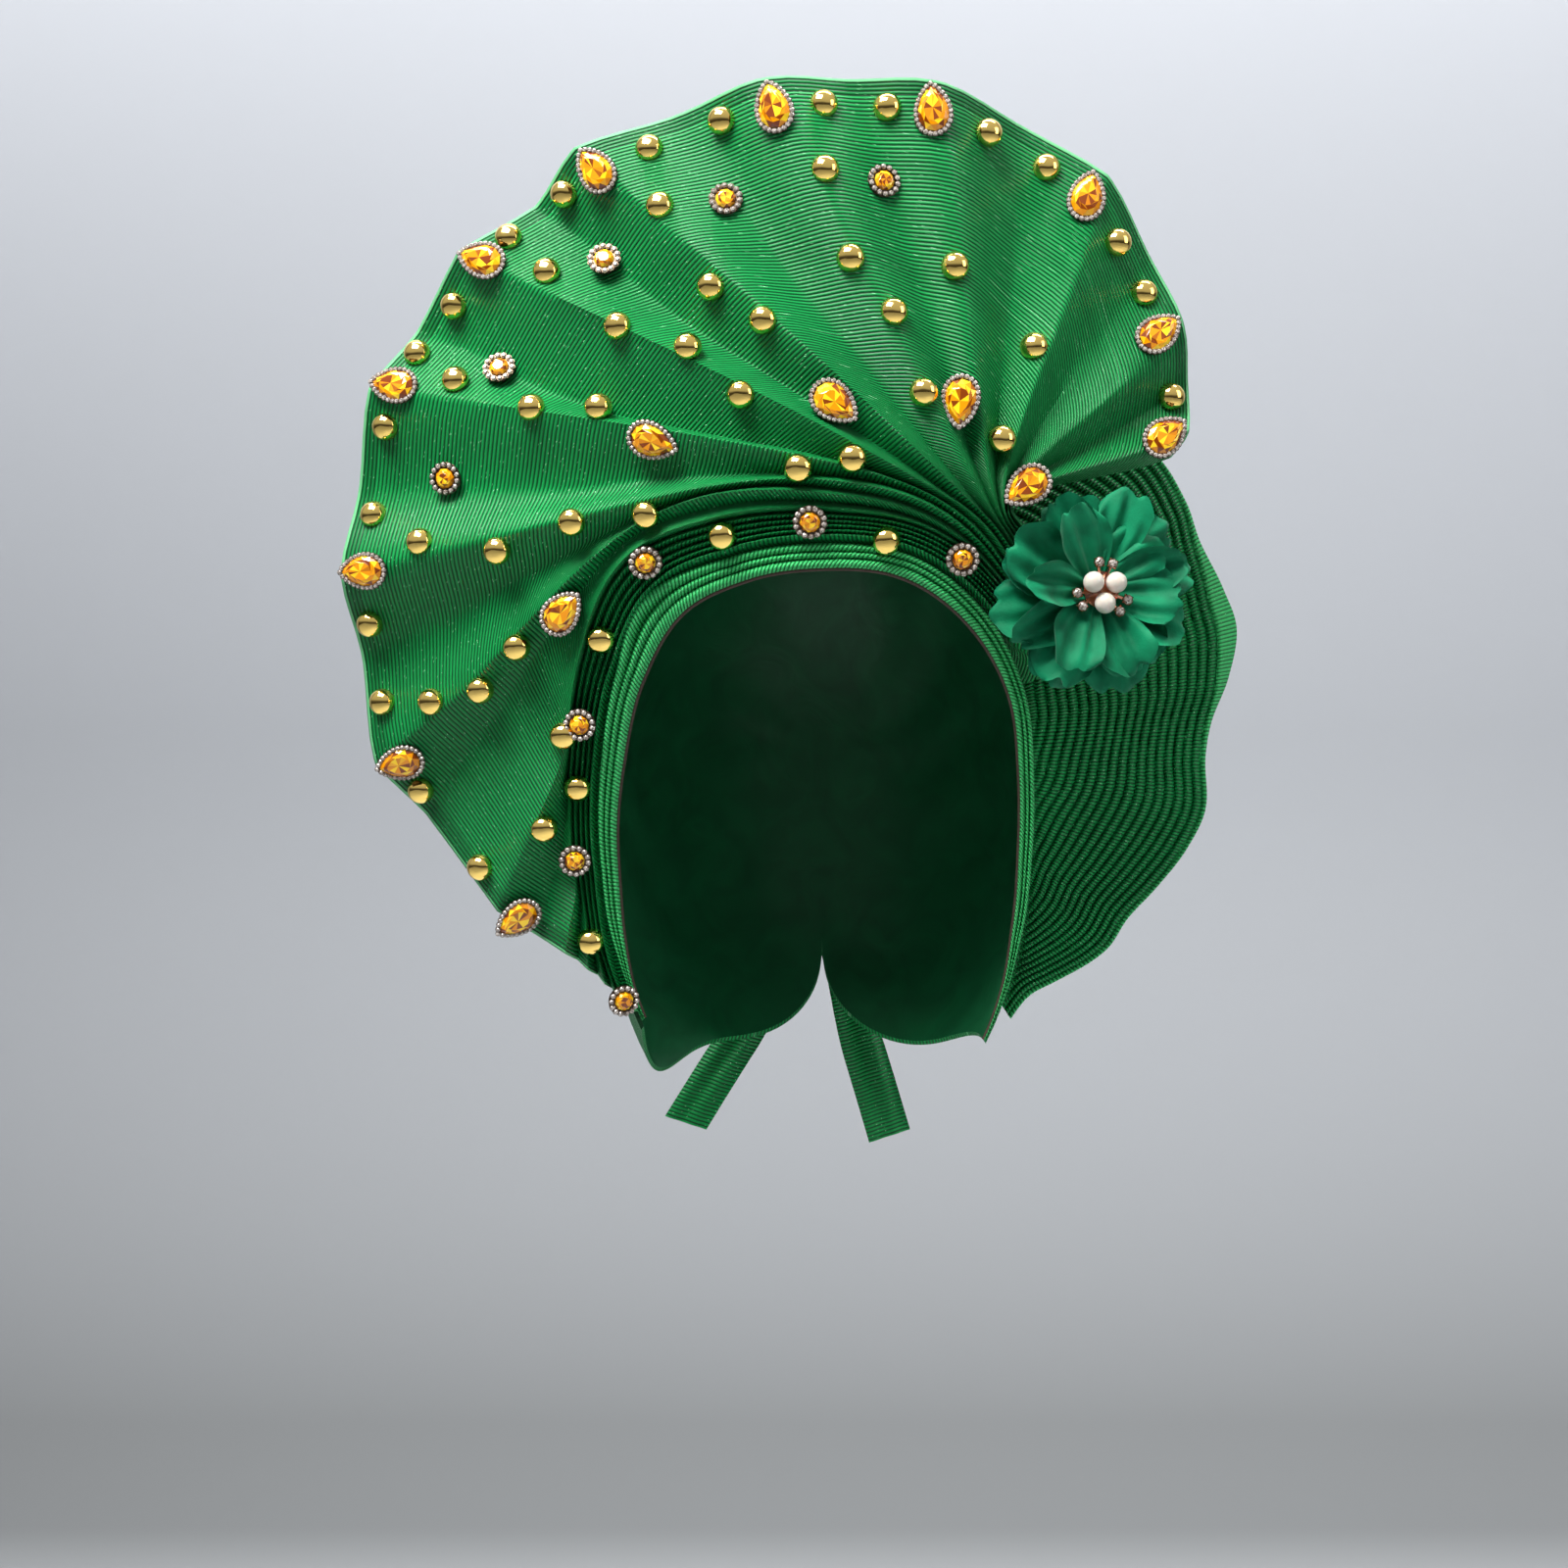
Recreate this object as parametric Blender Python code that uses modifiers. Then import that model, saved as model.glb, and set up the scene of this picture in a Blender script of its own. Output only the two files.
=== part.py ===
"""A tied gele: a stiff pleated head tie with a standing fan, a ribbed side wing and a cloth flower.

Metres, +Z up. The face opening looks along -Y and the origin is the inside top of the crown.
Bearings are degrees seen from the front: 0 is +X, 90 is up, 180 is -X.
"""

import math

import bmesh
import bpy
from mathutils import Matrix, Vector
from mathutils.bvhtree import BVHTree

# Head that the gele is tied for
CROWN_HEIGHT = 0.095
NAPE_DROP = 0.126
HEAD_HALF_WIDTH = 0.078
HEAD_BACK = 0.098
CAP_WALL = 0.002
NAPE_SLIT_TOP = 0.084
CAP_ROWS = (0.0, 0.02, 0.12, 0.26, 0.4, 0.54, 0.68, 0.82, 0.93, 1.0)
CAP_STEPS = 24

# Depth of the front of the gele
BROW_DEPTH = 0.086
SIDE_SWEEP = 0.5
SWEEP_START = 0.050
CROWN_LEAN = 0.12
JAW_LEAN = 0.35

# Face band
FACE_RADIUS = 0.0609
BAND_WIDTH = 0.0090
BAND_DEPTH = 0.0056
BAND_ROLLS = 3
ROLL_STEPS = 2
FACE_STEPS = 34

# Fan
FAN_SHIFT = -0.015
FAN_RISE = 0.079
FAN_RADIUS = 0.1490
FAN_WALL = 0.0022
BUNDLE_HEIGHT = 0.0245
BUNDLE_SEAT = 0.0016
PLEAT_DEPTH = 0.0120
PLEAT_GATHERED = 0.0022
PLEAT_OPENS = 0.009
FAN_FORWARD = 0.005
TAIL_FLARE = 0.014
FAN_ROWS = 17

# Side wing
WING_REACH = 0.150
WING_WALL = 0.002
WING_RIBS = 19
RIB_PITCH = 0.0041
RIB_HEIGHT = 0.0013
WING_SEAT = 0.0009
WING_BEHIND = 0.0045
WING_SWEEP = 0.025
WING_TOP = 56
WING_FOOT = -56
WING_ROWS = 12

# Stones and studs
STUD_RADIUS = 0.0041
STUD_HEIGHT = 0.0036
STUD_SINK = 0.0009
STUD_SIDES = 10
DROP_LENGTH = 0.0158
DROP_WIDTH = 0.0130
ROUND_SIZE = 0.0110
SETTING_HEIGHT = 0.0016
STONE_RISE = 0.0022
SEAT_GAP = 0.0003
CLOTH_SEAT_GAP = 0.0007
STEEPEST = 0.7
RAY_START = 0.4
DROP_SIDES = 10

# Flower and brooch
FLOWER_ACROSS = 0.093
FLOWER_DROP = 0.0286
FLOWER_RADIUS = 0.033
FLOWER_TURN = 14
PETAL_WALL = 0.0012
PETAL_CUP = 0.009
PETAL_RUFFLE = 0.0016
PETALS_OUTER = 10
PETALS_INNER = 8
PEARL_RADIUS = 0.0034
PEARL_RING = 0.0046
BROOCH_RADIUS = 0.0062
BROOCH_PLATE = 0.0014
SPRAY_RING = 0.0092
SPRAY_STONE = 0.0016
SPRAY_ARM = 0.0012
SPRAY_PAIRS = (84, 203, 324)
SPRAY_SPREAD = 15

# Nape tie
KNOT_RADIUS = 0.010
KNOT_DROP = 0.070
KNOT_SHAPE = (1.3, 0.7, 1.0)
TAIL_WIDTH = 0.016
TAIL_WALL = 0.002
TAIL_LENGTH = 0.080

HEAD_CENTRE = Vector((0.0, 0.0, -CROWN_HEIGHT))
FAN_CENTRE = Vector((FAN_SHIFT, 0.0, FAN_RISE - CROWN_HEIGHT))

# The face opening, round the head's centre.
# bearing; radius as a share of FACE_RADIUS; width as a share of BAND_WIDTH
FACE_LINE = (
    (-61.8, 1.952, 0.45),
    (-54.0, 1.755, 0.50),
    (-44.4, 1.535, 0.55),
    (-28.7, 1.289, 0.60),
    (-8.8, 1.135, 0.60),
    (14.0, 1.089, 0.65),
    (38.4, 1.061, 0.80),
    (64.6, 1.038, 0.90),
    (91.9, 1.000, 0.95),
    (117.2, 1.056, 1.05),
    (138.5, 1.158, 1.28),
    (161.2, 1.159, 1.05),
    (185.5, 1.218, 0.90),
    (208.5, 1.412, 0.75),
    (223.5, 1.647, 0.75),
    (236.4, 1.915, 0.50),
)

# The fan's folds, from the one beside the band outwards. One row per fold:
# name; height over the band at the tail, knot, brow, temple and cheek, as shares of BUNDLE_HEIGHT;
# leave, the bearing where it leaves the band; swing, how far it runs on, as a share of its way;
# tip and reach of its ridge at the rim, round the fan's centre, in shares of FAN_RADIUS;
# dip and dip reach of the valley after it.
FOLDS = (
    ("stack_1", 0.06, 0.06, 0.06, 0.065, 0.075, 224, 0.30, 252.0, 1.212, 251.4, 1.200),
    ("stack_2", 0.12, 0.12, 0.12, 0.15, 0.15, 222, 0.30, 250.7, 1.194, 249.8, 1.180),
    ("stack_3", 0.175, 0.185, 0.185, 0.245, 0.23, 219, 0.30, 248.9, 1.176, 247.7, 1.163),
    ("stack_4", 0.23, 0.245, 0.245, 0.36, 0.31, 215, 0.30, 246.5, 1.159, 244.9, 1.149),
    ("stack_5", 0.28, 0.31, 0.31, 0.47, 0.39, 208, 0.30, 243.3, 1.146, 239.6, 1.150),
    ("low", 0.335, 0.38, 0.40, 0.57, 0.465, 176, 0.30, 233.8, 1.145, 219.3, 1.092),
    ("cheek", 0.39, 0.47, 0.58, 0.95, 0.95, 108, 0.35, 211.0, 1.125, 198.0, 1.045),
    ("ear", 0.45, 0.60, 0.755, 1.05, 1.05, 90, 0.25, 187.6, 1.037, 176.4, 0.993),
    ("temple", 0.50, 0.70, 0.90, 0.90, 0.90, 74, 0.15, 162.8, 1.001, 153.4, 0.949),
    ("side", 0.585, 0.815, 0.90, 0.90, 0.90, 64, 0.12, 141.4, 0.953, 129.2, 0.902),
    ("high", 0.66, 0.92, 0.95, 0.95, 0.95, 57, 0.12, 120.3, 0.936, 105.4, 0.907),
    ("crown_left", 0.73, 1.00, 1.00, 1.00, 1.00, 51, 0.11, 92.9, 0.931, 81.0, 0.949),
    ("crown_right", 0.785, 1.06, 1.06, 1.06, 1.06, 50, 0.12, 69.6, 0.991, 57.8, 1.018),
    ("right_high", 0.86, 1.10, 1.10, 1.10, 1.10, 50, 0.14, 45.7, 1.049, 34.9, 1.020),
    ("right", 0.93, 1.14, 1.14, 1.14, 1.14, 50, 0.18, 25.2, 1.005, 17.8, 0.975),
    ("right_low", 1.00, 1.18, 1.18, 1.18, 1.18, 50, 0.25, 10.9, 0.938, 7.9, 0.895),
)
HEIGHT_BEARINGS = (40, 60, 90, 138, 175)
TAIL_LOW = 17
TAIL_SPAN = 15

# The wing's rim round the head's centre: bearing; reach as a share of WING_REACH
WING_RIM = (
    (-62.0, 0.827),
    (-56.4, 0.785),
    (-51.0, 0.766),
    (-46.0, 0.785),
    (-36.0, 0.837),
    (-29.6, 0.841),
    (-23.0, 0.874),
    (-15.7, 0.915),
    (-9.4, 0.937),
    (-2.1, 0.917),
    (3.7, 0.931),
    (9.7, 0.985),
    (15.9, 1.029),
    (21.4, 1.021),
    (28.4, 1.007),
    (34.0, 1.025),
    (42.0, 1.030),
    (56.0, 0.940),
)

# Gold studs round the fan's centre: bearing; reach as a share of FAN_RADIUS
RIM_STUDS = (
    (16.4, 0.919),
    (31.0, 0.956),
    (38.6, 0.961),
    (52.3, 0.970),
    (61.3, 0.941),
    (75.3, 0.902),
    (84.2, 0.880),
    (99.1, 0.858),
    (110.6, 0.854),
    (124.6, 0.870),
    (135.2, 0.883),
    (147.7, 0.895),
    (156.3, 0.924),
    (167.6, 0.940),
    (179.9, 0.951),
    (194.3, 0.995),
    (204.6, 1.035),
    (216.5, 1.070),
    (228.9, 1.086),
)
FIELD_STUDS = (
    (32.2, 0.658),
    (53.8, 0.639),
    (74.4, 0.544),
    (82.8, 0.727),
    (96.4, 0.393),
    (108.5, 0.498),
    (112.6, 0.715),
    (122.9, 0.394),
    (133.1, 0.536),
    (135.2, 0.752),
    (153.7, 0.462),
    (158.4, 0.803),
    (158.9, 0.604),
    (184.7, 0.472),
    (184.9, 0.833),
    (188.4, 0.651),
    (206.7, 0.684),
    (207.9, 0.924),
)
BUNDLE_STUDS = (
    (15.4, 0.494),
    (29.2, 0.171),
    (37.2, 0.384),
    (59.4, 0.472),
    (63.1, 0.077),
    (112.2, 0.245),
    (184.6, 0.301),
    (207.4, 0.157),
    (209.9, 0.809),
    (215.2, 0.508),
    (225.1, 0.717),
    (232.3, 0.915),
    (232.8, 0.789),
    (245.4, 1.097),
    (338.9, 0.237),
)

# Teardrop stones: name; bearing; reach as a share of FAN_RADIUS; bearing that the tip points to
DROPS = (
    ("rim_1", 10.6, 0.871, 35),
    ("rim_2", 24.8, 0.935, 40),
    ("rim_3", 45.6, 0.976, 75),
    ("rim_4", 69.0, 0.925, 95),
    ("rim_5", 91.2, 0.861, 105),
    ("rim_6", 118.9, 0.858, 130),
    ("rim_7", 140.3, 0.886, 160),
    ("rim_8", 162.0, 0.938, 165),
    ("rim_9", 187.6, 0.974, 185),
    ("rim_10", 212.2, 1.066, 200),
    ("rim_11", 235.9, 1.130, 215),
    ("field_1", 3.3, 0.534, 215),
    ("field_2", 28.2, 0.453, 265),
    ("field_3", 61.2, 0.235, 320),
    ("field_4", 154.4, 0.314, 345),
    ("field_5", 205.1, 0.539, 45),
)

# Round stones: name; bearing; reach as a share of FAN_RADIUS
ROUNDS = (
    ("upper_1", 73.2, 0.732),
    ("upper_2", 100.9, 0.677),
    ("upper_3", 126.3, 0.677),
    ("upper_4", 153.6, 0.721),
    ("upper_5", 174.1, 0.771),
    ("brow_1", 325.6, 0.070),
    ("brow_2", 201.5, 0.332),
    ("brow_3", 343.2, 0.412),
    ("cheek_1", 226.3, 0.657),
    ("cheek_2", 238.5, 0.934),
    ("cheek_3", 250.6, 1.190),
)


def fresh_scene():
    for item in list(bpy.data.objects):
        bpy.data.objects.remove(item, do_unlink=True)
    groups = []
    for name in ("tied_gele", "cutters"):
        group = bpy.data.collections.new(name)
        bpy.context.scene.collection.children.link(group)
        groups.append(group)
    return groups


PARTS, CUTTERS = fresh_scene()


def material(name, colour, roughness, metallic=0.0):
    mat = bpy.data.materials.new(name)
    mat.use_nodes = True
    shader = mat.node_tree.nodes["Principled BSDF"]
    shader.inputs["Base Color"].default_value = (*colour, 1.0)
    shader.inputs["Roughness"].default_value = roughness
    shader.inputs["Metallic"].default_value = metallic
    mat.diffuse_color = (*colour, 1.0)
    return mat


def add_object(name, bm, mat, group=PARTS, place=None):
    """Makes an object of a bmesh, with its faces pointing out."""
    bmesh.ops.recalc_face_normals(bm, faces=bm.faces)
    mesh = bpy.data.meshes.new(name)
    bm.to_mesh(mesh)
    bm.free()
    mesh.materials.append(mat)
    item = bpy.data.objects.new(name, mesh)
    if place:
        item.matrix_world = place
    group.objects.link(item)
    return item


def surface_of(item):
    """The evaluated mesh of an object in world space, as a tree for casting rays."""
    bpy.context.view_layer.update()
    seen = item.evaluated_get(bpy.context.evaluated_depsgraph_get())
    mesh = seen.to_mesh()
    corners = [item.matrix_world @ v.co for v in mesh.vertices]
    faces = [tuple(p.vertices) for p in mesh.polygons]
    seen.to_mesh_clear()
    return BVHTree.FromPolygons(corners, faces)


def soft_step(x):
    x = min(1.0, max(0.0, x))
    return x * x * (3.0 - 2.0 * x)


def soft_positive(x, width):
    """A smooth max(0, x)."""
    return 0.5 * (x + math.sqrt(x * x + width * width))


def smooth(rows, x, column=1):
    """A smooth curve through the rows' values in one column, over their first."""
    last = len(rows) - 1
    x = min(max(x, rows[0][0]), rows[last][0])
    i = 0
    while i < last - 1 and x > rows[i + 1][0]:
        i += 1

    def slope(k):
        a, b = rows[max(k - 1, 0)], rows[min(k + 1, last)]
        return (b[column] - a[column]) / (b[0] - a[0])

    width = rows[i + 1][0] - rows[i][0]
    t = (x - rows[i][0]) / width
    a, b = rows[i][column], rows[i + 1][column]
    bend_a, bend_b = slope(i) * width, slope(i + 1) * width
    flat = (2 * t**3 - 3 * t**2 + 1) * a + (3 * t**2 - 2 * t**3) * b
    return flat + (t**3 - 2 * t**2 + t) * bend_a + (t**3 - t**2) * bend_b


def at_bearing(centre, bearing, radius):
    turn = math.radians(bearing)
    return centre.x + radius * math.cos(turn), centre.z + radius * math.sin(turn)


def front_depth(x, z):
    """Where the front of the gele lies: bowed round the face and leaning back above and below."""
    side = SIDE_SWEEP * (math.hypot(x, SWEEP_START) - SWEEP_START)
    crown = CROWN_LEAN * soft_positive(z + 0.010, 0.012)
    jaw = JAW_LEAN * soft_positive(-0.030 - z, 0.012)
    return side + crown + jaw - BROW_DEPTH


def face_radius(bearing):
    return FACE_RADIUS * smooth(FACE_LINE, bearing)


def band_edge(bearing):
    """Radius of the band's outer edge."""
    return face_radius(bearing) + 0.5 * BAND_WIDTH * smooth(FACE_LINE, bearing, 2)


def sheet_solid(name, front, wall, mat):
    """A pleated cloth: a grid of front points, made thick straight back."""
    bm = bmesh.new()
    grid = [[bm.verts.new(point) for point in row] for row in front]
    for row, after in zip(grid, grid[1:]):
        for a, b, c, d in zip(row, row[1:], after[1:], after):
            bm.faces.new((a, b, c, d))
    bmesh.ops.remove_doubles(bm, verts=bm.verts, dist=0.00005)
    bmesh.ops.dissolve_degenerate(bm, edges=bm.edges, dist=0.00001)
    bmesh.ops.triangulate(bm, faces=bm.faces)
    back = bmesh.ops.extrude_face_region(bm, geom=bm.faces[:])["geom"]
    moved = [g for g in back if isinstance(g, bmesh.types.BMVert)]
    bmesh.ops.translate(bm, verts=moved, vec=(0.0, wall, 0.0))
    return add_object(name, bm, mat)


def make_cap(mat):
    """The close cap over crown and nape, open at the face and down the nape slit."""
    low, high = FACE_LINE[0][0], FACE_LINE[-1][0]
    start_gap, end_gap = low + 90.0, 270.0 - high
    bm = bmesh.new()
    grid = []
    for share in CAP_ROWS:
        line = []
        for i in range(CAP_STEPS + 1):
            u = i / CAP_STEPS
            bearing = low + (high - low) * u
            x0, z0 = at_bearing(HEAD_CENTRE, bearing, face_radius(bearing))
            y0 = front_depth(x0, z0) + 0.5 * BAND_DEPTH + SEAT_GAP + 0.25 * CAP_WALL
            y = y0 + (HEAD_BACK - y0) * math.sin(0.5 * math.pi * share)
            closing = 1.0 - soft_step(y / NAPE_SLIT_TOP) ** 1.5
            a = -90.0 + start_gap * closing + (360.0 - (start_gap + end_gap) * closing) * u
            inside = soft_step((y - y0) / (0.62 * BROW_DEPTH))
            radius = face_radius(bearing) * (1.0 - inside) + head_radius(a, y) * inside
            x, z = at_bearing(HEAD_CENTRE, a, radius)
            line.append(bm.verts.new((x, y, z)))
        grid.append(line)
    for row, after in zip(grid, grid[1:]):
        for a, b, c, d in zip(row, row[1:], after[1:], after):
            bm.faces.new((a, b, c, d))
    bmesh.ops.remove_doubles(bm, verts=bm.verts, dist=0.0002)
    bmesh.ops.triangulate(bm, faces=bm.faces, quad_method="SHORT_EDGE")
    cap = add_object("crown_cap", bm, mat)
    wall = cap.modifiers.new("cloth", "SOLIDIFY")
    wall.thickness = CAP_WALL
    wall.offset = 1.0
    return cap


def head_radius(bearing, y):
    """Radius of the inside of the cap at a depth, fuller low down where it covers the nape."""
    if y > 0.0:
        full = max(0.0, 1.0 - (y / HEAD_BACK) ** 2.3) ** (1 / 2.3)
    else:
        full = (1.0 - (-y / (1.35 * HEAD_BACK)) ** 2.3) ** (1 / 2.3)
    turn = math.radians(bearing)
    across = abs(math.cos(turn)) / HEAD_HALF_WIDTH
    if math.sin(turn) > 0.0:
        up, power = math.sin(turn) / CROWN_HEIGHT, 2.1
    else:
        up, power = -math.sin(turn) / NAPE_DROP, 2.5
    return full * (across**power + up**power) ** (-1 / power)


def make_band(mat):
    """The rolled band round the face, a loft of one rolled section."""
    low, high = FACE_LINE[0][0], FACE_LINE[-1][0]
    section = []
    for i in range(BAND_ROLLS * ROLL_STEPS + 1):
        across = i / (BAND_ROLLS * ROLL_STEPS) - 0.5
        bulge = abs(math.sin(math.pi * i / ROLL_STEPS))
        section.append((across, -0.5 + 0.34 * (1.0 - bulge)))
    section += [(0.5, 0.42), (0.0, 0.5), (-0.5, 0.42)]
    bm = bmesh.new()
    rings = []
    for i in range(FACE_STEPS + 1):
        bearing = low + (high - low) * i / FACE_STEPS
        width = BAND_WIDTH * smooth(FACE_LINE, bearing, 2)
        ends = 0.35 + 0.65 * soft_step(min(i, FACE_STEPS - i) / 3.0)
        x0, z0 = at_bearing(HEAD_CENTRE, bearing, face_radius(bearing))
        y0 = front_depth(x0, z0)
        ring = []
        for across, deep in section:
            x, z = at_bearing(HEAD_CENTRE, bearing, face_radius(bearing) + width * across * ends)
            ring.append(bm.verts.new((x, y0 + BAND_DEPTH * deep, z)))
        rings.append(ring)
    for ring, after in zip(rings, rings[1:]):
        for k in range(len(section)):
            n = (k + 1) % len(section)
            bm.faces.new((ring[k], ring[n], after[n], after[k]))
    bm.faces.new(rings[0])
    bm.faces.new(rings[-1])
    bmesh.ops.triangulate(bm, faces=bm.faces)
    return add_object("face_band", bm, mat)


def fold_line(heights, leave, swing, tip, reach):
    """Points seen from the front along one fold line, evenly spaced from tail to rim."""
    tail = heights[0]
    flare_from = TAIL_LOW + TAIL_SPAN * (1.0 + tail)
    start = TAIL_LOW + TAIL_SPAN * tail
    over = tuple(zip(HEIGHT_BEARINGS, heights))

    def beside_band(bearing):
        flare = TAIL_FLARE * max(0.0, (flare_from - bearing) / TAIL_SPAN) ** 2
        lift = BUNDLE_SEAT + BUNDLE_HEIGHT * smooth(over, bearing)
        return Vector(at_bearing(HEAD_CENTRE, bearing, band_edge(bearing) + lift + flare))

    steps = 40
    points = [beside_band(start + (leave - start) * i / steps) for i in range(steps + 1)]
    here, ahead = points[-1], (points[-1] - points[-2]).normalized()
    end = Vector(at_bearing(FAN_CENTRE, tip, reach * FAN_RADIUS))
    way = (end - here).length
    handle_a = here + ahead * swing * way
    handle_b = here + (end - here) * 0.5
    for i in range(1, steps + 1):
        t = i / steps
        near = here * (1 - t) ** 3 + handle_a * 3 * t * (1 - t) ** 2
        points.append(near + handle_b * 3 * t * t * (1 - t) + end * t**3)
    return evenly(points, FAN_ROWS)


def evenly(points, count):
    """count + 1 points at equal steps along a line of points."""
    run = [0.0]
    for a, b in zip(points, points[1:]):
        run.append(run[-1] + (b - a).length)
    spaced = []
    k = 0
    for i in range(count + 1):
        want = run[-1] * i / count
        while k < len(run) - 2 and run[k + 1] < want:
            k += 1
        t = (want - run[k]) / (run[k + 1] - run[k])
        spaced.append(points[k].lerp(points[k + 1], min(1.0, t)))
    return spaced


def fan_front():
    """The fan's front: a line of points for each ridge and valley, from the band to the free edge."""
    lines = []
    first = FOLDS[0]
    lines.append(fold_line((0.0,) * 5, first[6] + 1, first[7], first[8] + 0.6, first[9] + 0.012))
    for fold, after in zip(FOLDS, FOLDS[1:] + (None,)):
        heights, leave, swing = fold[1:6], fold[6], fold[7]
        lines.append(fold_line(heights, leave, swing, fold[8], fold[9]))
        if after:
            heights = tuple(0.5 * (a + b) for a, b in zip(heights, after[1:6]))
            leave, swing = 0.5 * (leave + after[6]), 0.5 * (swing + after[7])
        else:
            heights = tuple(h + 0.06 for h in heights)
        lines.append(fold_line(heights, leave, swing, fold[10], fold[11]))
    front = []
    for k, line in enumerate(lines):
        is_ridge = k % 2 == 1
        row = []
        for i, point in enumerate(line):
            x, z = point
            forward = FAN_FORWARD * outside_band(x, z)
            if is_ridge:
                gap = min((point - lines[k - 1][i]).length, (point - lines[k + 1][i]).length)
                open_share = 1.0 - math.exp(-gap / PLEAT_OPENS)
                forward += PLEAT_GATHERED + (PLEAT_DEPTH - PLEAT_GATHERED) * open_share
            row.append(Vector((x, front_depth(x, z) - forward, z)))
        front.append(row)
    return front


def outside_band(x, z):
    """0 in the flat stack beside the band, 1 in the open fan."""
    bearing = math.degrees(math.atan2(z - HEAD_CENTRE.z, x - HEAD_CENTRE.x))
    if bearing < -90.0:
        bearing += 360.0
    over = math.hypot(x - HEAD_CENTRE.x, z - HEAD_CENTRE.z) - band_edge(bearing)
    return soft_step((over / BUNDLE_HEIGHT - 0.25) / 0.5)


def make_wing(mat):
    """The ribbed wing behind the flower: ribs that follow its rim and run out under the band."""
    front = []
    for i in range(WING_ROWS + 1):
        bearing = WING_FOOT + (WING_TOP - WING_FOOT) * i / WING_ROWS
        rim = WING_REACH * smooth(WING_RIM, bearing)
        inner = band_edge(bearing) + WING_SEAT
        pitch = RIB_PITCH * (1.0 - 0.4 * soft_step((-bearing - 15.0) / 35.0))
        under = WING_BEHIND * (0.35 + 0.65 * soft_step((bearing - 5.0) / 20.0))
        row = []
        for k in range(2 * WING_RIBS + 1):
            radius = max(inner, rim - 0.5 * k * pitch)
            x, z = at_bearing(HEAD_CENTRE, bearing, radius)
            out = (radius - inner) / (WING_REACH - FACE_RADIUS)
            rib = RIB_HEIGHT if k % 2 and radius > inner else 0.0
            row.append(Vector((x, front_depth(x, z) + under + WING_SWEEP * out - rib, z)))
        front.append(row)
    return sheet_solid("side_wing", front, WING_WALL, mat)


def spot(surfaces, x, z, spread):
    """The front surface at a place seen from the front, and the direction that it faces.

    A place beside the surface moves to the nearest point of it.
    """
    here = Vector((x, front_depth(x, z), z))
    ahead = [s.ray_cast(Vector((x, -RAY_START, z)), Vector((0, 1, 0)))[0] for s in surfaces]
    if not any(ahead):
        near = min((s.find_nearest(here) for s in surfaces), key=lambda n: n[3])[0]
        x, z = near.x + (near.x - here.x) * 0.2, near.z + (near.z - here.z) * 0.2
    hits = []
    for k in range(9):
        r = 0.0 if k == 8 else spread
        px, pz = x + r * math.cos(k * math.pi / 4), z + r * math.sin(k * math.pi / 4)
        found = [s.ray_cast(Vector((px, -RAY_START, pz)), Vector((0, 1, 0)))[0] for s in surfaces]
        found = [h for h in found if h]
        if found:
            hits.append(min(found, key=lambda h: h.y))
    hits = hits or [near]
    middle = sum(hits, Vector()) / len(hits)
    centre = Vector((x, middle.y, z))
    slope_x = sum((h.x - middle.x) * (h.y - middle.y) for h in hits)
    slope_z = sum((h.z - middle.z) * (h.y - middle.y) for h in hits)
    size_x = sum((h.x - middle.x) ** 2 for h in hits) + 1e-12
    size_z = sum((h.z - middle.z) ** 2 for h in hits) + 1e-12
    lean = Vector((slope_x / size_x, -1.0, slope_z / size_z))
    lean.x = max(-STEEPEST, min(STEEPEST, lean.x))
    lean.z = max(-STEEPEST, min(STEEPEST, lean.z))
    return centre, lean.normalized()


def turned_to(facing, tip_bearing):
    """Rotation with local Z along facing and local X as near as it can be to a bearing."""
    turn = math.radians(tip_bearing)
    along = Vector((math.cos(turn), 0.0, math.sin(turn)))
    along = (along - facing * along.dot(facing)).normalized()
    across = facing.cross(along)
    return Matrix((along, across, facing)).transposed().to_4x4()


def settle(place, samples, surfaces, gap=SEAT_GAP):
    """Moves a placement along its own -Z until its samples are a gap off the surfaces."""
    down = -(place.to_3x3() @ Vector((0, 0, 1)))
    room = None
    for sample in samples:
        start = place @ sample - down * 0.05
        for surface in surfaces:
            found = surface.ray_cast(start, down)
            if found[0] is not None and (room is None or found[3] - 0.05 < room):
                room = found[3] - 0.05
    return Matrix.Translation(down * (room - gap)) @ place


def stacked_rings(outlines):
    """A closed body through rings of points, each ring a list of points, with flat ends."""
    bm = bmesh.new()
    rings = [[bm.verts.new(p) for p in ring] for ring in outlines]
    for ring, after in zip(rings, rings[1:]):
        for k in range(len(ring)):
            n = (k + 1) % len(ring)
            bm.faces.new((ring[k], ring[n], after[n], after[k]))
    bm.faces.new(rings[0])
    bm.faces.new(rings[-1])
    bmesh.ops.triangulate(bm, faces=bm.faces)
    return bm


def drop_outline(length, width, height, sides=DROP_SIDES):
    """A teardrop with its tip at +X."""
    points = []
    for k in range(sides):
        t = 2.0 * math.pi * k / sides
        waist = math.sin(0.5 * t) ** 0.55
        points.append(Vector((0.5 * length * math.cos(t), 0.5 * width * math.sin(t) * waist, height)))
    return points


def round_outline(radius, height, sides=10):
    turn = 2.0 * math.pi / sides
    return [Vector((radius * math.cos(k * turn), radius * math.sin(k * turn), height)) for k in range(sides)]


def seat_samples(outline):
    """Points over the flat back of a setting."""
    return [Vector((p.x * r / 6, p.y * r / 6, 0.0)) for p in outline for r in range(1, 7)]


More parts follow.
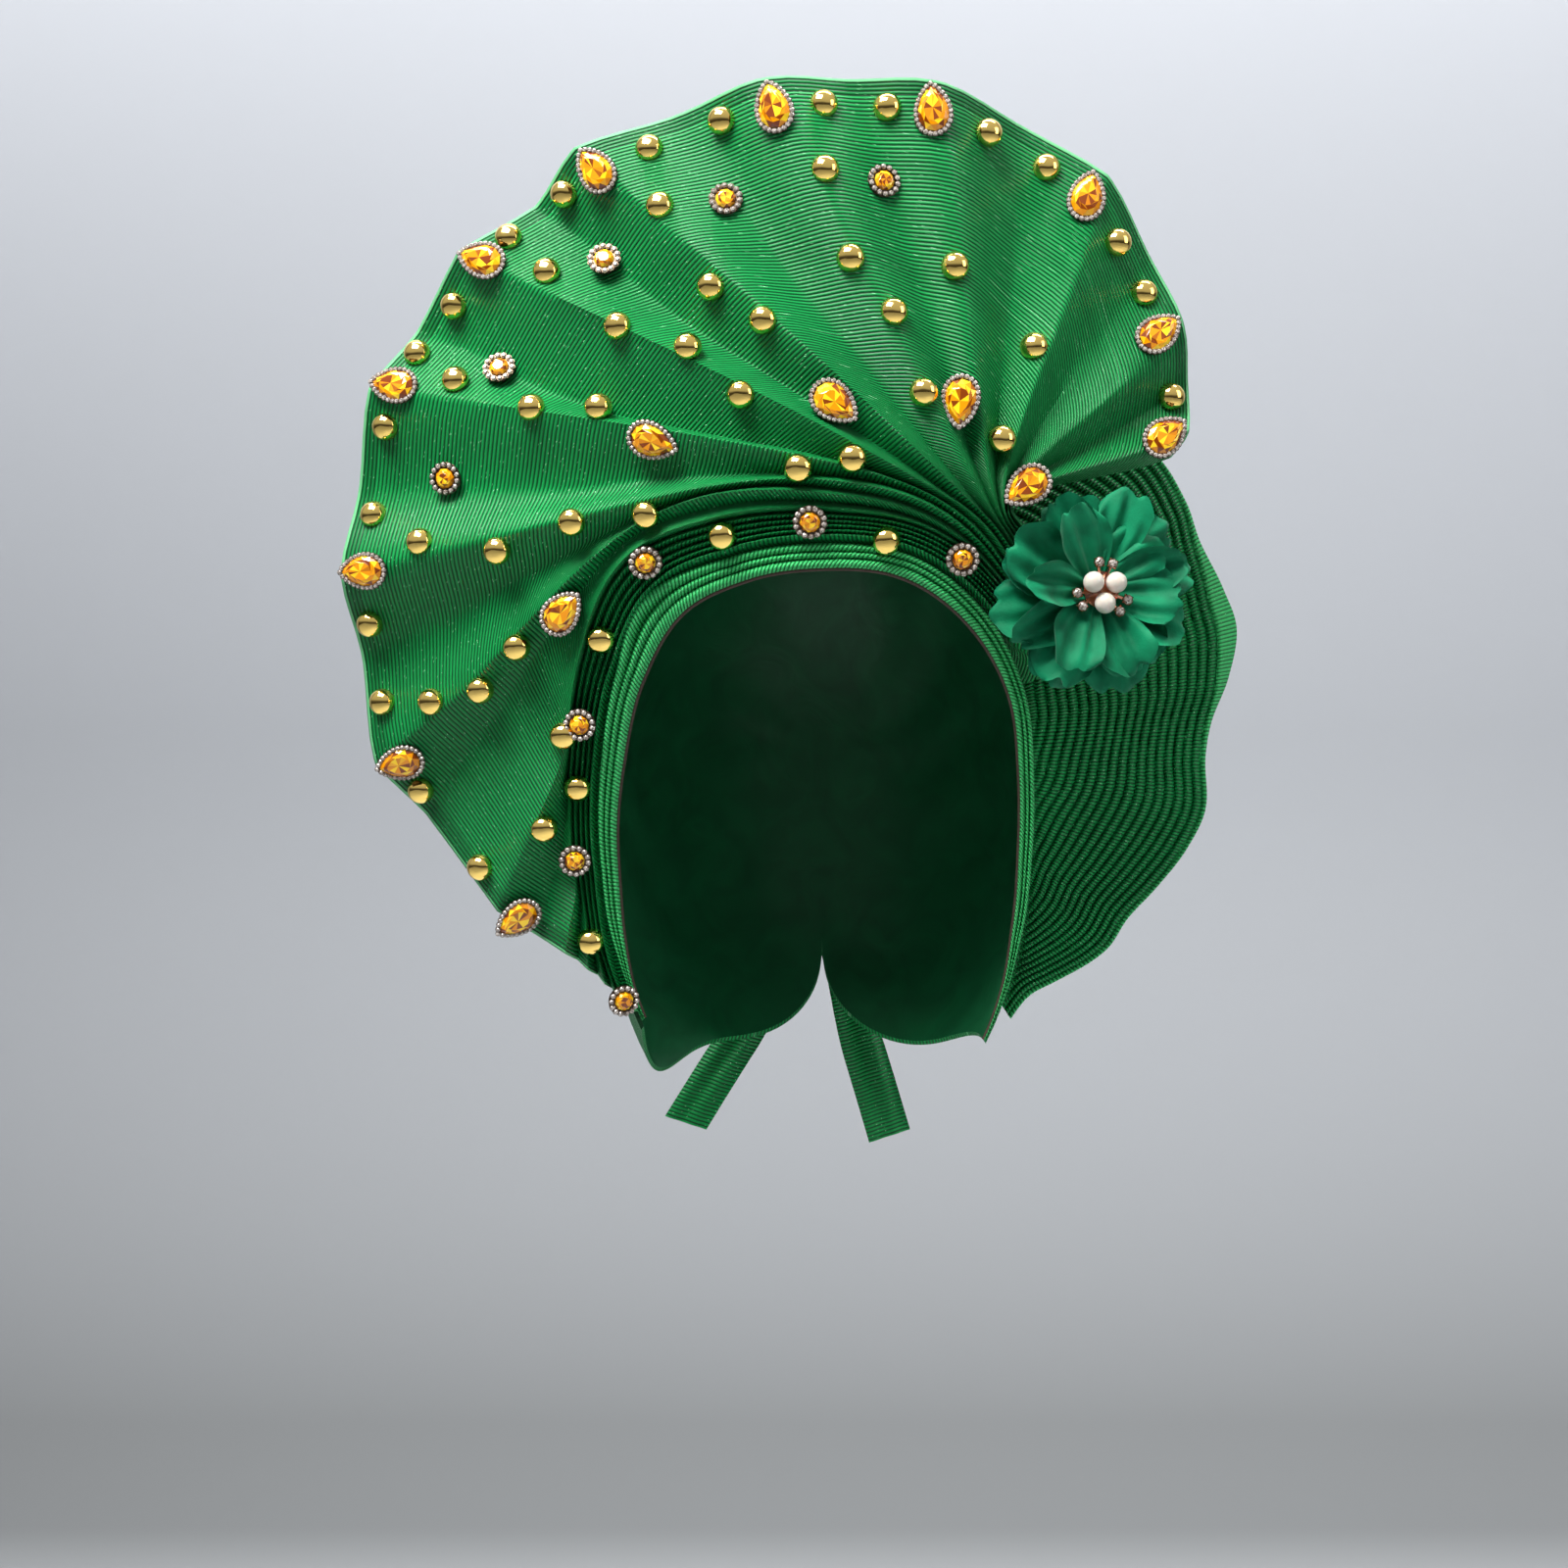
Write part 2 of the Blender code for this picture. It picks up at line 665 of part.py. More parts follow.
def drop_stone():
    """A teardrop setting with its faceted stone, in one."""
    length, width = DROP_LENGTH, DROP_WIDTH
    top = SETTING_HEIGHT + STONE_RISE
    return stacked_rings(
        [
            drop_outline(length, width, 0.0),
            drop_outline(length, width, SETTING_HEIGHT),
            drop_outline(0.72 * length, 0.70 * width, SETTING_HEIGHT + 0.2 * STONE_RISE),
            drop_outline(0.40 * length, 0.38 * width, top),
        ]
    )


def round_stone():
    """A round setting with its faceted stone, in one."""
    radius = 0.5 * ROUND_SIZE
    return stacked_rings(
        [
            round_outline(radius, 0.0),
            round_outline(radius, SETTING_HEIGHT),
            round_outline(0.55 * radius, SETTING_HEIGHT + 0.2 * STONE_RISE),
            round_outline(0.30 * radius, SETTING_HEIGHT + 0.8 * STONE_RISE),
        ]
    )


def make_studs(surface, mat):
    """The gold half beads, as one cutter that the fan is joined with."""
    bm = bmesh.new()
    for bearing, reach in RIM_STUDS + FIELD_STUDS + BUNDLE_STUDS:
        x, z = at_bearing(FAN_CENTRE, bearing, reach * FAN_RADIUS)
        centre, facing = spot([surface], x, z, 0.6 * STUD_RADIUS)
        place = Matrix.Translation(centre) @ turned_to(facing, 0.0)
        rings = (
            round_outline(STUD_RADIUS, -STUD_SINK, STUD_SIDES),
            round_outline(0.80 * STUD_RADIUS, 0.66 * STUD_HEIGHT, STUD_SIDES),
        )
        base, shoulder = [[bm.verts.new(place @ p) for p in ring] for ring in rings]
        peak = bm.verts.new(place @ Vector((0.0, 0.0, STUD_HEIGHT)))
        bm.faces.new(base[::-1])
        for k in range(STUD_SIDES):
            n = (k + 1) % STUD_SIDES
            bm.faces.new((base[k], base[n], shoulder[n], shoulder[k]))
            bm.faces.new((shoulder[k], shoulder[n], peak))
    studs = add_object("gold_studs", bm, mat, CUTTERS)
    studs.hide_render = True
    studs.display_type = "WIRE"
    return studs


def join_with(item, cutter):
    union = item.modifiers.new("join_" + cutter.name, "BOOLEAN")
    union.operation = "UNION"
    union.object = cutter


def petal_layer(name, petals, radius, cup, mat):
    """One ruffled layer of the flower, facing local +Z, gathered at its middle."""
    per_petal = 4
    columns = petals * per_petal
    bm = bmesh.new()
    middle = bm.verts.new((0.0, 0.0, 0.0))
    rings = []
    for share in (0.30, 0.68, 1.0):
        ring = []
        for k in range(columns):
            phase = (k / per_petal) % 1.0
            edge = 1.0 - 0.13 * share * (2.0 * abs(phase - 0.5)) ** 2
            turn = 2.0 * math.pi * k / columns
            r = radius * share * edge
            wave = PETAL_RUFFLE * share * (1.0 if k % 2 else -1.0) * (1.0 if k % 4 < 2 else 0.6)
            ring.append(bm.verts.new((r * math.cos(turn), r * math.sin(turn), cup * share + wave)))
        rings.append(ring)
    for k in range(columns):
        n = (k + 1) % columns
        bm.faces.new((middle, rings[0][k], rings[0][n]))
        for ring, after in zip(rings, rings[1:]):
            bm.faces.new((ring[k], after[k], after[n], ring[n]))
    bmesh.ops.triangulate(bm, faces=bm.faces)
    layer = add_object(name, bm, mat)
    wall = layer.modifiers.new("cloth", "SOLIDIFY")
    wall.thickness = PETAL_WALL
    wall.offset = 0.0
    return layer


def mesh_samples(item):
    """Corners, edge middles and face middles of an object's evaluated mesh, in its own space."""
    bpy.context.view_layer.update()
    seen = item.evaluated_get(bpy.context.evaluated_depsgraph_get())
    mesh = seen.to_mesh()
    corners = [v.co.copy() for v in mesh.vertices]
    samples = corners + [p.center.copy() for p in mesh.polygons]
    samples += [(corners[e.vertices[0]] + corners[e.vertices[1]]) / 2 for e in mesh.edges]
    seen.to_mesh_clear()
    return samples


def make_flower(surfaces, mats):
    """Two ruffled petal layers, then the brooch on them. Each is set on what lies under it."""
    turn = math.radians(FLOWER_TURN)
    facing = Vector((math.sin(turn), -math.cos(turn), 0.0))
    x, z = FLOWER_ACROSS, FAN_CENTRE.z - FLOWER_DROP
    start = Matrix.Translation((x, -BROW_DEPTH, z)) @ turned_to(facing, 0.0)
    outer = petal_layer("flower_petals_outer", PETALS_OUTER, FLOWER_RADIUS, PETAL_CUP, mats["chiffon"])
    outer.matrix_world = settle(start, mesh_samples(outer), surfaces, CLOTH_SEAT_GAP)
    radius, cup = 0.68 * FLOWER_RADIUS, 1.2 * PETAL_CUP
    inner = petal_layer("flower_petals_inner", PETALS_INNER, radius, cup, mats["chiffon"])
    under = [surface_of(outer)]
    inner.matrix_world = settle(outer.matrix_world, mesh_samples(inner), under, CLOTH_SEAT_GAP)
    brooch = make_brooch(mats)
    under = [surface_of(inner), surface_of(outer)]
    brooch.matrix_world = settle(inner.matrix_world, mesh_samples(brooch), under)
    plate = [surface_of(brooch)]
    for k, bearing in enumerate((30, 150, 270)):
        bm = bmesh.new()
        bmesh.ops.create_uvsphere(bm, u_segments=10, v_segments=6, radius=PEARL_RADIUS)
        pearl = add_object(f"pearl_{k + 1}", bm, mats["pearl"])
        turn = math.radians(bearing)
        aside = Vector((PEARL_RING * math.cos(turn), PEARL_RING * math.sin(turn), 0.01))
        place = brooch.matrix_world @ Matrix.Translation(aside)
        pearl.matrix_world = settle(place, mesh_samples(pearl), plate)


def make_brooch(mats):
    """A round plate with three pairs of set stones on short arms, facing local +Z."""
    plate = stacked_rings([round_outline(BROOCH_RADIUS, 0.0, 12), round_outline(BROOCH_RADIUS, BROOCH_PLATE, 12)])
    brooch = add_object("flower_brooch", plate, mats["rose_gold"])
    arms = bmesh.new()
    for pair in SPRAY_PAIRS:
        for side in (-SPRAY_SPREAD, SPRAY_SPREAD):
            turn = Matrix.Rotation(math.radians(pair + side), 4, "Z")
            arm = bmesh.ops.create_cube(arms, size=1.0)["verts"]
            low, high = 0.5 * BROOCH_RADIUS, SPRAY_RING
            size = Matrix.Diagonal((high - low, SPRAY_ARM, 0.6 * BROOCH_PLATE, 1.0))
            middle = Matrix.Translation((0.5 * (low + high), 0.0, 0.5 * BROOCH_PLATE))
            bmesh.ops.transform(arms, matrix=turn @ middle @ size, verts=arm)
    arm_item = add_object("brooch_arms", arms, mats["rose_gold"], CUTTERS)
    stones = bmesh.new()
    for pair in SPRAY_PAIRS:
        for side in (-SPRAY_SPREAD, SPRAY_SPREAD):
            turn = Matrix.Rotation(math.radians(pair + side), 4, "Z")
            tall = 1.1 * SPRAY_STONE
            stone = bmesh.ops.create_cone(
                stones,
                cap_ends=True,
                segments=8,
                radius1=SPRAY_STONE,
                radius2=0.55 * SPRAY_STONE,
                depth=tall,
            )["verts"]
            lift = Matrix.Translation((SPRAY_RING, 0.0, 0.5 * tall + 0.25 * BROOCH_PLATE))
            bmesh.ops.transform(stones, matrix=turn @ lift, verts=stone)
    stone_item = add_object("brooch_stones", stones, mats["rose_gold"], CUTTERS)
    for cutter in (arm_item, stone_item):
        cutter.hide_render = True
        cutter.display_type = "WIRE"
        join_with(brooch, cutter)
    for cutter in (arm_item, stone_item):
        cutter.parent = brooch
    return brooch


def strip(bm, points, width, wall, across):
    """A flat strip of cloth along a line of points, cut square at both ends."""
    rings = []
    for i, point in enumerate(points):
        ahead = points[min(i + 1, len(points) - 1)] - points[max(i - 1, 0)]
        side = (across - ahead * across.dot(ahead) / ahead.length_squared).normalized()
        normal = ahead.cross(side).normalized()
        ring = []
        for s, n in ((-1, -1), (1, -1), (1, 1), (-1, 1)):
            ring.append(bm.verts.new(point + side * (0.5 * s * width) + normal * (0.5 * n * wall)))
        rings.append(ring)
    for ring, after in zip(rings, rings[1:]):
        for k in range(4):
            bm.faces.new((ring[k], ring[(k + 1) % 4], after[(k + 1) % 4], after[k]))
    bm.faces.new(rings[0])
    bm.faces.new(rings[-1])


def make_nape_tie(surfaces, mats):
    """The knot at the foot of the nape slit with its two cut ends hanging."""
    bm = bmesh.new()
    bmesh.ops.create_uvsphere(bm, u_segments=10, v_segments=6, radius=KNOT_RADIUS)
    bmesh.ops.scale(bm, vec=KNOT_SHAPE, verts=bm.verts)
    tie = add_object("nape_tie", bm, mats["grosgrain"])
    for name, side, spread in (("left", -1.0, 0.60), ("right", 1.0, 0.30)):
        line = []
        for i in range(7):
            t = i / 6
            x = side * TAIL_LENGTH * spread * t**0.9
            y = -0.45 * TAIL_LENGTH * spread * t**2
            z = -TAIL_LENGTH * (1.0 - 0.25 * spread) * t
            line.append(Vector((x, y, z)))
        tail = bmesh.new()
        strip(tail, line, TAIL_WIDTH, TAIL_WALL, Vector((1.0, 0.35 * side, 0.15 * side)))
        tail_item = add_object("tie_tail_" + name, tail, mats["grosgrain"], CUTTERS)
        tail_item.hide_render = True
        tail_item.display_type = "WIRE"
        tail_item.parent = tie
        join_with(tie, tail_item)
    back = Matrix(((1, 0, 0), (0, 0, 1), (0, -1, 0))).to_4x4()
    start = Matrix.Translation((0.0, HEAD_BACK + 0.03, HEAD_CENTRE.z - KNOT_DROP)) @ back
    own = back.inverted()
    samples = [own @ s for s in mesh_samples(tie)]
    tie.matrix_world = settle(start, samples, surfaces, CLOTH_SEAT_GAP) @ own


def main():
    mats = {
        "grosgrain": material("emerald_grosgrain", (0.005, 0.150, 0.045), 0.5),
        "band": material("light_green_cord", (0.02, 0.38, 0.10), 0.55),
        "chiffon": material("teal_green_chiffon", (0.003, 0.130, 0.055), 0.7),
        "gold": material("polished_gold", (0.90, 0.62, 0.18), 0.1, 1.0),
        "amber": material("amber_stone", (0.85, 0.38, 0.01), 0.05),
        "pearl": material("pearl", (0.85, 0.80, 0.72), 0.2),
        "rose_gold": material("rose_gold", (0.85, 0.50, 0.35), 0.15, 1.0),
    }
    cap = make_cap(mats["grosgrain"])
    band = make_band(mats["band"])
    fan = sheet_solid("fan", fan_front(), FAN_WALL, mats["grosgrain"])
    wing = make_wing(mats["grosgrain"])
    cloth = [surface_of(fan), surface_of(band)]
    studs = make_studs(cloth[0], mats["gold"])
    join_with(fan, studs)
    for name, bearing, reach, tip in DROPS:
        x, z = at_bearing(FAN_CENTRE, bearing, reach * FAN_RADIUS)
        centre, facing = spot(cloth, x, z, 0.35 * DROP_WIDTH)
        place = Matrix.Translation(centre) @ turned_to(facing, tip)
        place = settle(place, seat_samples(drop_outline(DROP_LENGTH, DROP_WIDTH, 0.0, 36)), cloth)
        add_object("teardrop_" + name, drop_stone(), mats["amber"], PARTS, place)
    for name, bearing, reach in ROUNDS:
        x, z = at_bearing(FAN_CENTRE, bearing, reach * FAN_RADIUS)
        centre, facing = spot(cloth, x, z, 0.35 * ROUND_SIZE)
        place = Matrix.Translation(centre) @ turned_to(facing, 0.0)
        place = settle(place, seat_samples(round_outline(0.5 * ROUND_SIZE, 0.0, 36)), cloth)
        add_object("round_stone_" + name, round_stone(), mats["amber"], PARTS, place)
    make_flower(cloth + [surface_of(wing)], mats)
    make_nape_tie([surface_of(cap)], mats)


main()
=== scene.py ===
"""A tied gele: pleated fan, ribbed wing, rolled face band, cap, cloth flower and stones.

Lengths are in metres. Bearings are degrees seen from the front: 0 is +X and 90 is up.
"""

import math
import random

import bmesh
import bpy
import numpy as np
from bpy.props import FloatProperty, FloatVectorProperty, PointerProperty
from mathutils import Matrix, Vector, noise
from mathutils.bvhtree import BVHTree


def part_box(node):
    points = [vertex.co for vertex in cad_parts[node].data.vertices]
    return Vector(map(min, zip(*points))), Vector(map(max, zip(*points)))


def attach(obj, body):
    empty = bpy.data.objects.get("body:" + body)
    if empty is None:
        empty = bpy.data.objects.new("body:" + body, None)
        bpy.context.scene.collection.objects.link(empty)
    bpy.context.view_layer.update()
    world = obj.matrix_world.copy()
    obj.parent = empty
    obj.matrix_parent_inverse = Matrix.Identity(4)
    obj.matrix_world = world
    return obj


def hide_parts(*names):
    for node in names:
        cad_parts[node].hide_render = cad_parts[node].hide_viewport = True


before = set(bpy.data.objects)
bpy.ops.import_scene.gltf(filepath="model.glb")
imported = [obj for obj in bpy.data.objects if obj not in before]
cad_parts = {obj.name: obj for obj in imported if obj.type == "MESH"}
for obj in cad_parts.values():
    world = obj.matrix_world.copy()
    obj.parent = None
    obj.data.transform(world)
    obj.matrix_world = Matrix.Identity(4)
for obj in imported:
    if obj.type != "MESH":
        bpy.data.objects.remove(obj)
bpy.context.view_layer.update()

bl_info = {
    "name": "Tied gele",
    "version": (1, 0, 0),
    "blender": (4, 5, 0),
    "location": "3D View > Sidebar > Gele",
    "description": "Makes the cloth, gold half beads, amber stones and flower of a tied gele",
    "category": "Object",
}

# Head and front of the gele, as in the part's source
CROWN_HEIGHT = 0.095
NAPE_DROP = 0.126
HEAD_HALF_WIDTH = 0.078
HEAD_BACK = 0.098
NAPE_SLIT_TOP = 0.084
BROW_DEPTH = 0.086
FACE_RADIUS = 0.0609
BAND_WIDTH = 0.0090
FAN_RADIUS = 0.1490
BUNDLE_HEIGHT = 0.0245
BUNDLE_SEAT = 0.0009
PLEAT_DEPTH = 0.0120
ROLL_DEPTH = 0.0028
PLEAT_OPENS = 0.009
FAN_FORWARD = 0.005
TAIL_FLARE = 0.014
TAIL_LOW = 17
TAIL_SPAN = 15
WING_REACH = 0.150
RIB_HEIGHT = 0.0013
HEAD_CENTRE = Vector((0.0, 0.0, -CROWN_HEIGHT))
FAN_CENTRE = Vector((-0.015, 0.0, -0.016))

# Camera: distance in front of the brow and width of the view there
CAMERA_PLACE = (-0.01485, -0.960, -0.1089)
CAMERA_LENS = 61.36
SENSOR_WIDTH = 36.0
ROOM_LIGHT = 0.64

# The sweep: heights and places from the front in metres
SWEEP_FLOOR = -0.62
SWEEP_WALL = 1.10
SWEEP_BEND = 0.55
SWEEP_HALF_WIDTH = 4.0
SWEEP_TOP = 3.2

# The face opening: bearing; radius as a share of FACE_RADIUS; width as a share of BAND_WIDTH
FACE_LINE = (
    (-61.8, 1.952, 0.45),
    (-54.0, 1.755, 0.50),
    (-44.4, 1.535, 0.55),
    (-28.7, 1.289, 0.60),
    (-8.8, 1.135, 0.60),
    (14.0, 1.089, 0.65),
    (38.4, 1.061, 0.80),
    (64.6, 1.038, 0.90),
    (91.9, 1.000, 0.95),
    (117.2, 1.056, 1.05),
    (138.5, 1.158, 1.28),
    (161.2, 1.159, 1.05),
    (185.5, 1.218, 0.90),
    (208.5, 1.412, 0.75),
    (223.5, 1.647, 0.75),
    (236.4, 1.915, 0.50),
)

# One row per fold of the fan, from the band outwards:
# five heights over the band at HEIGHT_BEARINGS, as shares of BUNDLE_HEIGHT; bearing where it leaves
# the band; swing; tip and reach of the ridge; tip and reach of the valley after it.
FOLDS = (
    (0.06, 0.06, 0.06, 0.065, 0.075, 224, 0.30, 252.0, 1.212, 251.4, 1.200),
    (0.12, 0.12, 0.12, 0.15, 0.15, 222, 0.30, 250.7, 1.194, 249.8, 1.180),
    (0.175, 0.185, 0.185, 0.245, 0.23, 219, 0.30, 248.9, 1.176, 247.7, 1.163),
    (0.23, 0.245, 0.245, 0.36, 0.31, 215, 0.30, 246.5, 1.159, 244.9, 1.149),
    (0.28, 0.31, 0.31, 0.47, 0.39, 208, 0.30, 243.3, 1.146, 239.6, 1.150),
    (0.335, 0.38, 0.40, 0.57, 0.465, 176, 0.30, 233.8, 1.145, 219.3, 1.092),
    (0.39, 0.47, 0.58, 0.95, 0.95, 108, 0.35, 211.0, 1.125, 198.0, 1.045),
    (0.45, 0.60, 0.755, 1.05, 1.05, 90, 0.25, 187.6, 1.037, 176.4, 0.993),
    (0.50, 0.70, 0.90, 0.90, 0.90, 74, 0.15, 162.8, 1.001, 153.4, 0.949),
    (0.585, 0.815, 0.90, 0.90, 0.90, 64, 0.12, 141.4, 0.953, 129.2, 0.902),
    (0.66, 0.92, 0.95, 0.95, 0.95, 57, 0.12, 120.3, 0.936, 105.4, 0.907),
    (0.73, 1.00, 1.00, 1.00, 1.00, 51, 0.11, 92.9, 0.931, 81.0, 0.949),
    (0.785, 1.06, 1.06, 1.06, 1.06, 50, 0.12, 69.6, 0.991, 57.8, 1.018),
    (0.86, 1.10, 1.10, 1.10, 1.10, 50, 0.14, 45.7, 1.049, 34.9, 1.020),
    (0.93, 1.14, 1.14, 1.14, 1.14, 50, 0.18, 25.2, 1.005, 17.8, 0.975),
    (1.00, 1.18, 1.18, 1.18, 1.18, 50, 0.25, 10.9, 0.938, 7.9, 0.895),
)
HEIGHT_BEARINGS = (40, 60, 90, 138, 175)

# From the fold line of this number on: how soft the panel after it is, and how far the line's own
# valley is filled
SOFT_PANELS = (
    (0, 0.0, 0.0),
    (13, 0.8, 0.0),
    (17, 0.1, 0.0),
    (20, 0.3, 0.0),
    (21, 0.6, 0.0),
    (22, 1.0, 0.25),
    (23, 1.0, 0.0),
    (24, 0.9, 0.30),
    (25, 1.0, 0.0),
    (26, 0.4, 0.05),
    (27, 0.6, 0.0),
    (28, 1.0, 0.40),
    (29, 1.0, 0.0),
    (30, 0.8, 0.15),
    (32, 0.8, 0.0),
)

# The wing's rim round the head's centre: bearing; reach as a share of WING_REACH
WING_RIM = (
    (-62.0, 0.827),
    (-56.4, 0.785),
    (-51.0, 0.766),
    (-46.0, 0.785),
    (-36.0, 0.837),
    (-29.6, 0.841),
    (-23.0, 0.874),
    (-15.7, 0.915),
    (-9.4, 0.937),
    (-2.1, 0.917),
    (3.7, 0.931),
    (9.7, 0.985),
    (15.9, 1.029),
    (21.4, 1.021),
    (28.4, 1.007),
    (34.0, 1.025),
    (42.0, 1.030),
    (56.0, 0.940),
)

# Gold half beads round the fan's centre: bearing; reach as a share of FAN_RADIUS
HALF_BEADS = (
    (16.4, 0.919), (31.0, 0.956), (38.6, 0.961), (52.3, 0.970), (61.3, 0.941), (75.3, 0.902),
    (84.2, 0.880), (99.1, 0.858), (110.6, 0.854), (124.6, 0.870), (135.2, 0.883), (147.7, 0.895),
    (156.3, 0.924), (167.6, 0.940), (179.9, 0.951), (194.3, 0.995), (204.6, 1.035), (216.5, 1.070),
    (228.9, 1.086), (32.2, 0.658), (53.8, 0.639), (74.4, 0.544), (82.8, 0.727), (96.4, 0.393),
    (108.5, 0.498), (112.6, 0.715), (122.9, 0.394), (133.1, 0.536), (135.2, 0.752), (153.7, 0.462),
    (158.4, 0.803), (158.9, 0.604), (184.7, 0.472), (184.9, 0.833), (188.4, 0.651), (206.7, 0.684),
    (207.9, 0.924), (15.4, 0.494), (29.2, 0.171), (37.2, 0.384), (59.4, 0.472), (63.1, 0.077),
    (112.2, 0.245), (184.6, 0.301), (207.4, 0.157), (209.9, 0.809), (215.2, 0.508), (225.1, 0.717),
    (232.3, 0.915), (232.8, 0.789), (245.4, 1.097), (338.9, 0.237),
)


# Shapes shared with the part's source


def soft_step(x):
    x = min(1.0, max(0.0, x))
    return x * x * (3.0 - 2.0 * x)


def soft_positive(x, width):
    """A smooth max(0, x)."""
    return 0.5 * (x + math.sqrt(x * x + width * width))


def smooth(rows, x, column=1):
    """A smooth curve through the rows' values in one column, over their first."""
    last = len(rows) - 1
    x = min(max(x, rows[0][0]), rows[last][0])
    i = 0
    while i < last - 1 and x > rows[i + 1][0]:
        i += 1

    def slope(k):
        a, b = rows[max(k - 1, 0)], rows[min(k + 1, last)]
        return (b[column] - a[column]) / (b[0] - a[0])

    width = rows[i + 1][0] - rows[i][0]
    t = (x - rows[i][0]) / width
    a, b = rows[i][column], rows[i + 1][column]
    bend_a, bend_b = slope(i) * width, slope(i + 1) * width
    flat = (2 * t**3 - 3 * t**2 + 1) * a + (3 * t**2 - 2 * t**3) * b
    return flat + (t**3 - 2 * t**2 + t) * bend_a + (t**3 - t**2) * bend_b


def at_bearing(centre, bearing, radius):
    turn = math.radians(bearing)
    return centre.x + radius * math.cos(turn), centre.z + radius * math.sin(turn)


def front_depth(x, z):
    """Where the front of the gele lies: bowed round the face and leaning back above and below."""
    side = 0.5 * (math.hypot(x, 0.050) - 0.050)
    crown = 0.12 * soft_positive(z + 0.010, 0.012)
    jaw = 0.35 * soft_positive(-0.030 - z, 0.012)
    return side + crown + jaw - BROW_DEPTH


def face_radius(bearing):
    return FACE_RADIUS * smooth(FACE_LINE, bearing)


def band_edge(bearing):
    """Radius of the band's outer edge."""
    return face_radius(bearing) + 0.5 * BAND_WIDTH * smooth(FACE_LINE, bearing, 2)


def outside_band(x, z):
    """0 in the flat stack beside the band, 1 in the open fan."""
    bearing = math.degrees(math.atan2(z - HEAD_CENTRE.z, x))
    if bearing < -90.0:
        bearing += 360.0
    over = math.hypot(x, z - HEAD_CENTRE.z) - band_edge(bearing)
    return soft_step((over / BUNDLE_HEIGHT - 0.25) / 0.5)


def evenly(points, count):
    """count + 1 points at equal steps along a line of points, and the line's length."""
    run = [0.0]
    for a, b in zip(points, points[1:]):
        run.append(run[-1] + (b - a).length)
    spaced = []
    k = 0
    for i in range(count + 1):
        want = run[-1] * i / count
        while k < len(run) - 2 and run[k + 1] < want:
            k += 1
        t = (want - run[k]) / (run[k + 1] - run[k])
        spaced.append(points[k].lerp(points[k + 1], min(1.0, t)))
    return spaced, run[-1]


def rounded(before, a, b, beyond, t):
    """A point at t from a to b on a smooth curve through four points."""
    slope_a, slope_b = (b - before) / 2, (beyond - a) / 2
    flat = a * (2 * t**3 - 3 * t**2 + 1) + b * (3 * t**2 - 2 * t**3)
    return flat + slope_a * (t**3 - 2 * t**2 + t) + slope_b * (t**3 - t**2)


def fold_line(heights, leave, swing, tip, reach, rows):
    """Points seen from the front along one fold line, from tail to rim."""
    tail = heights[0]
    flare_from = TAIL_LOW + TAIL_SPAN * (1.0 + tail)
    start = TAIL_LOW + TAIL_SPAN * tail
    over = tuple(zip(HEIGHT_BEARINGS, heights))

    def beside_band(bearing):
        flare = TAIL_FLARE * max(0.0, (flare_from - bearing) / TAIL_SPAN) ** 2
        lift = BUNDLE_SEAT + BUNDLE_HEIGHT * smooth(over, bearing)
        return Vector(at_bearing(HEAD_CENTRE, bearing, band_edge(bearing) + lift + flare))

    steps = 100
    points = [beside_band(start + (leave - start) * i / steps) for i in range(steps + 1)]
    here, ahead = points[-1], (points[-1] - points[-2]).normalized()
    end = Vector(at_bearing(FAN_CENTRE, tip, reach * FAN_RADIUS))
    way = (end - here).length
    handle_a = here + ahead * swing * way
    handle_b = here + (end - here) * 0.5
    for i in range(1, steps + 1):
        t = i / steps
        near = here * (1 - t) ** 3 + handle_a * 3 * t * (1 - t) ** 2
        points.append(near + handle_b * 3 * t * t * (1 - t) + end * t**3)
    return evenly(points, rows)


def fold_lines(rows):
    """Every ridge and valley line of the fan, with its length, from the band to the free edge."""
    first = FOLDS[0]
    lines = [fold_line((0.0,) * 5, first[5] + 1, first[6], first[7] + 0.6, first[8] + 0.012, rows)]
    for fold, after in zip(FOLDS, FOLDS[1:] + (None,)):
        heights, leave, swing = fold[:5], fold[5], fold[6]
        lines.append(fold_line(heights, leave, swing, fold[7], fold[8], rows))
        if after:
            heights = tuple(0.5 * (a + b) for a, b in zip(heights, after[:5]))
            leave, swing = 0.5 * (leave + after[5]), 0.5 * (swing + after[6])
        else:
            heights = tuple(h + 0.06 for h in heights)
        lines.append(fold_line(heights, leave, swing, fold[9], fold[10], rows))
    return lines


def panel_softness(k):
    """Softness of the panel after fold line k, and how far its valley is filled."""
    return [row[1:] for row in SOFT_PANELS if row[0] <= k][-1]


def head_radius(bearing, y):
    """Radius of the inside of the cap at a depth, fuller low down where it covers the nape."""
    if y > 0.0:
        full = max(0.0, 1.0 - (y / HEAD_BACK) ** 2.3) ** (1 / 2.3)
    else:
        full = (1.0 - (-y / (1.35 * HEAD_BACK)) ** 2.3) ** (1 / 2.3)
    turn = math.radians(bearing)
    across = abs(math.cos(turn)) / HEAD_HALF_WIDTH
    if math.sin(turn) > 0.0:
        up, power = math.sin(turn) / CROWN_HEIGHT, 2.1
    else:
        up, power = -math.sin(turn) / NAPE_DROP, 2.5
    return full * (across**power + up**power) ** (-1 / power)


# Meshes


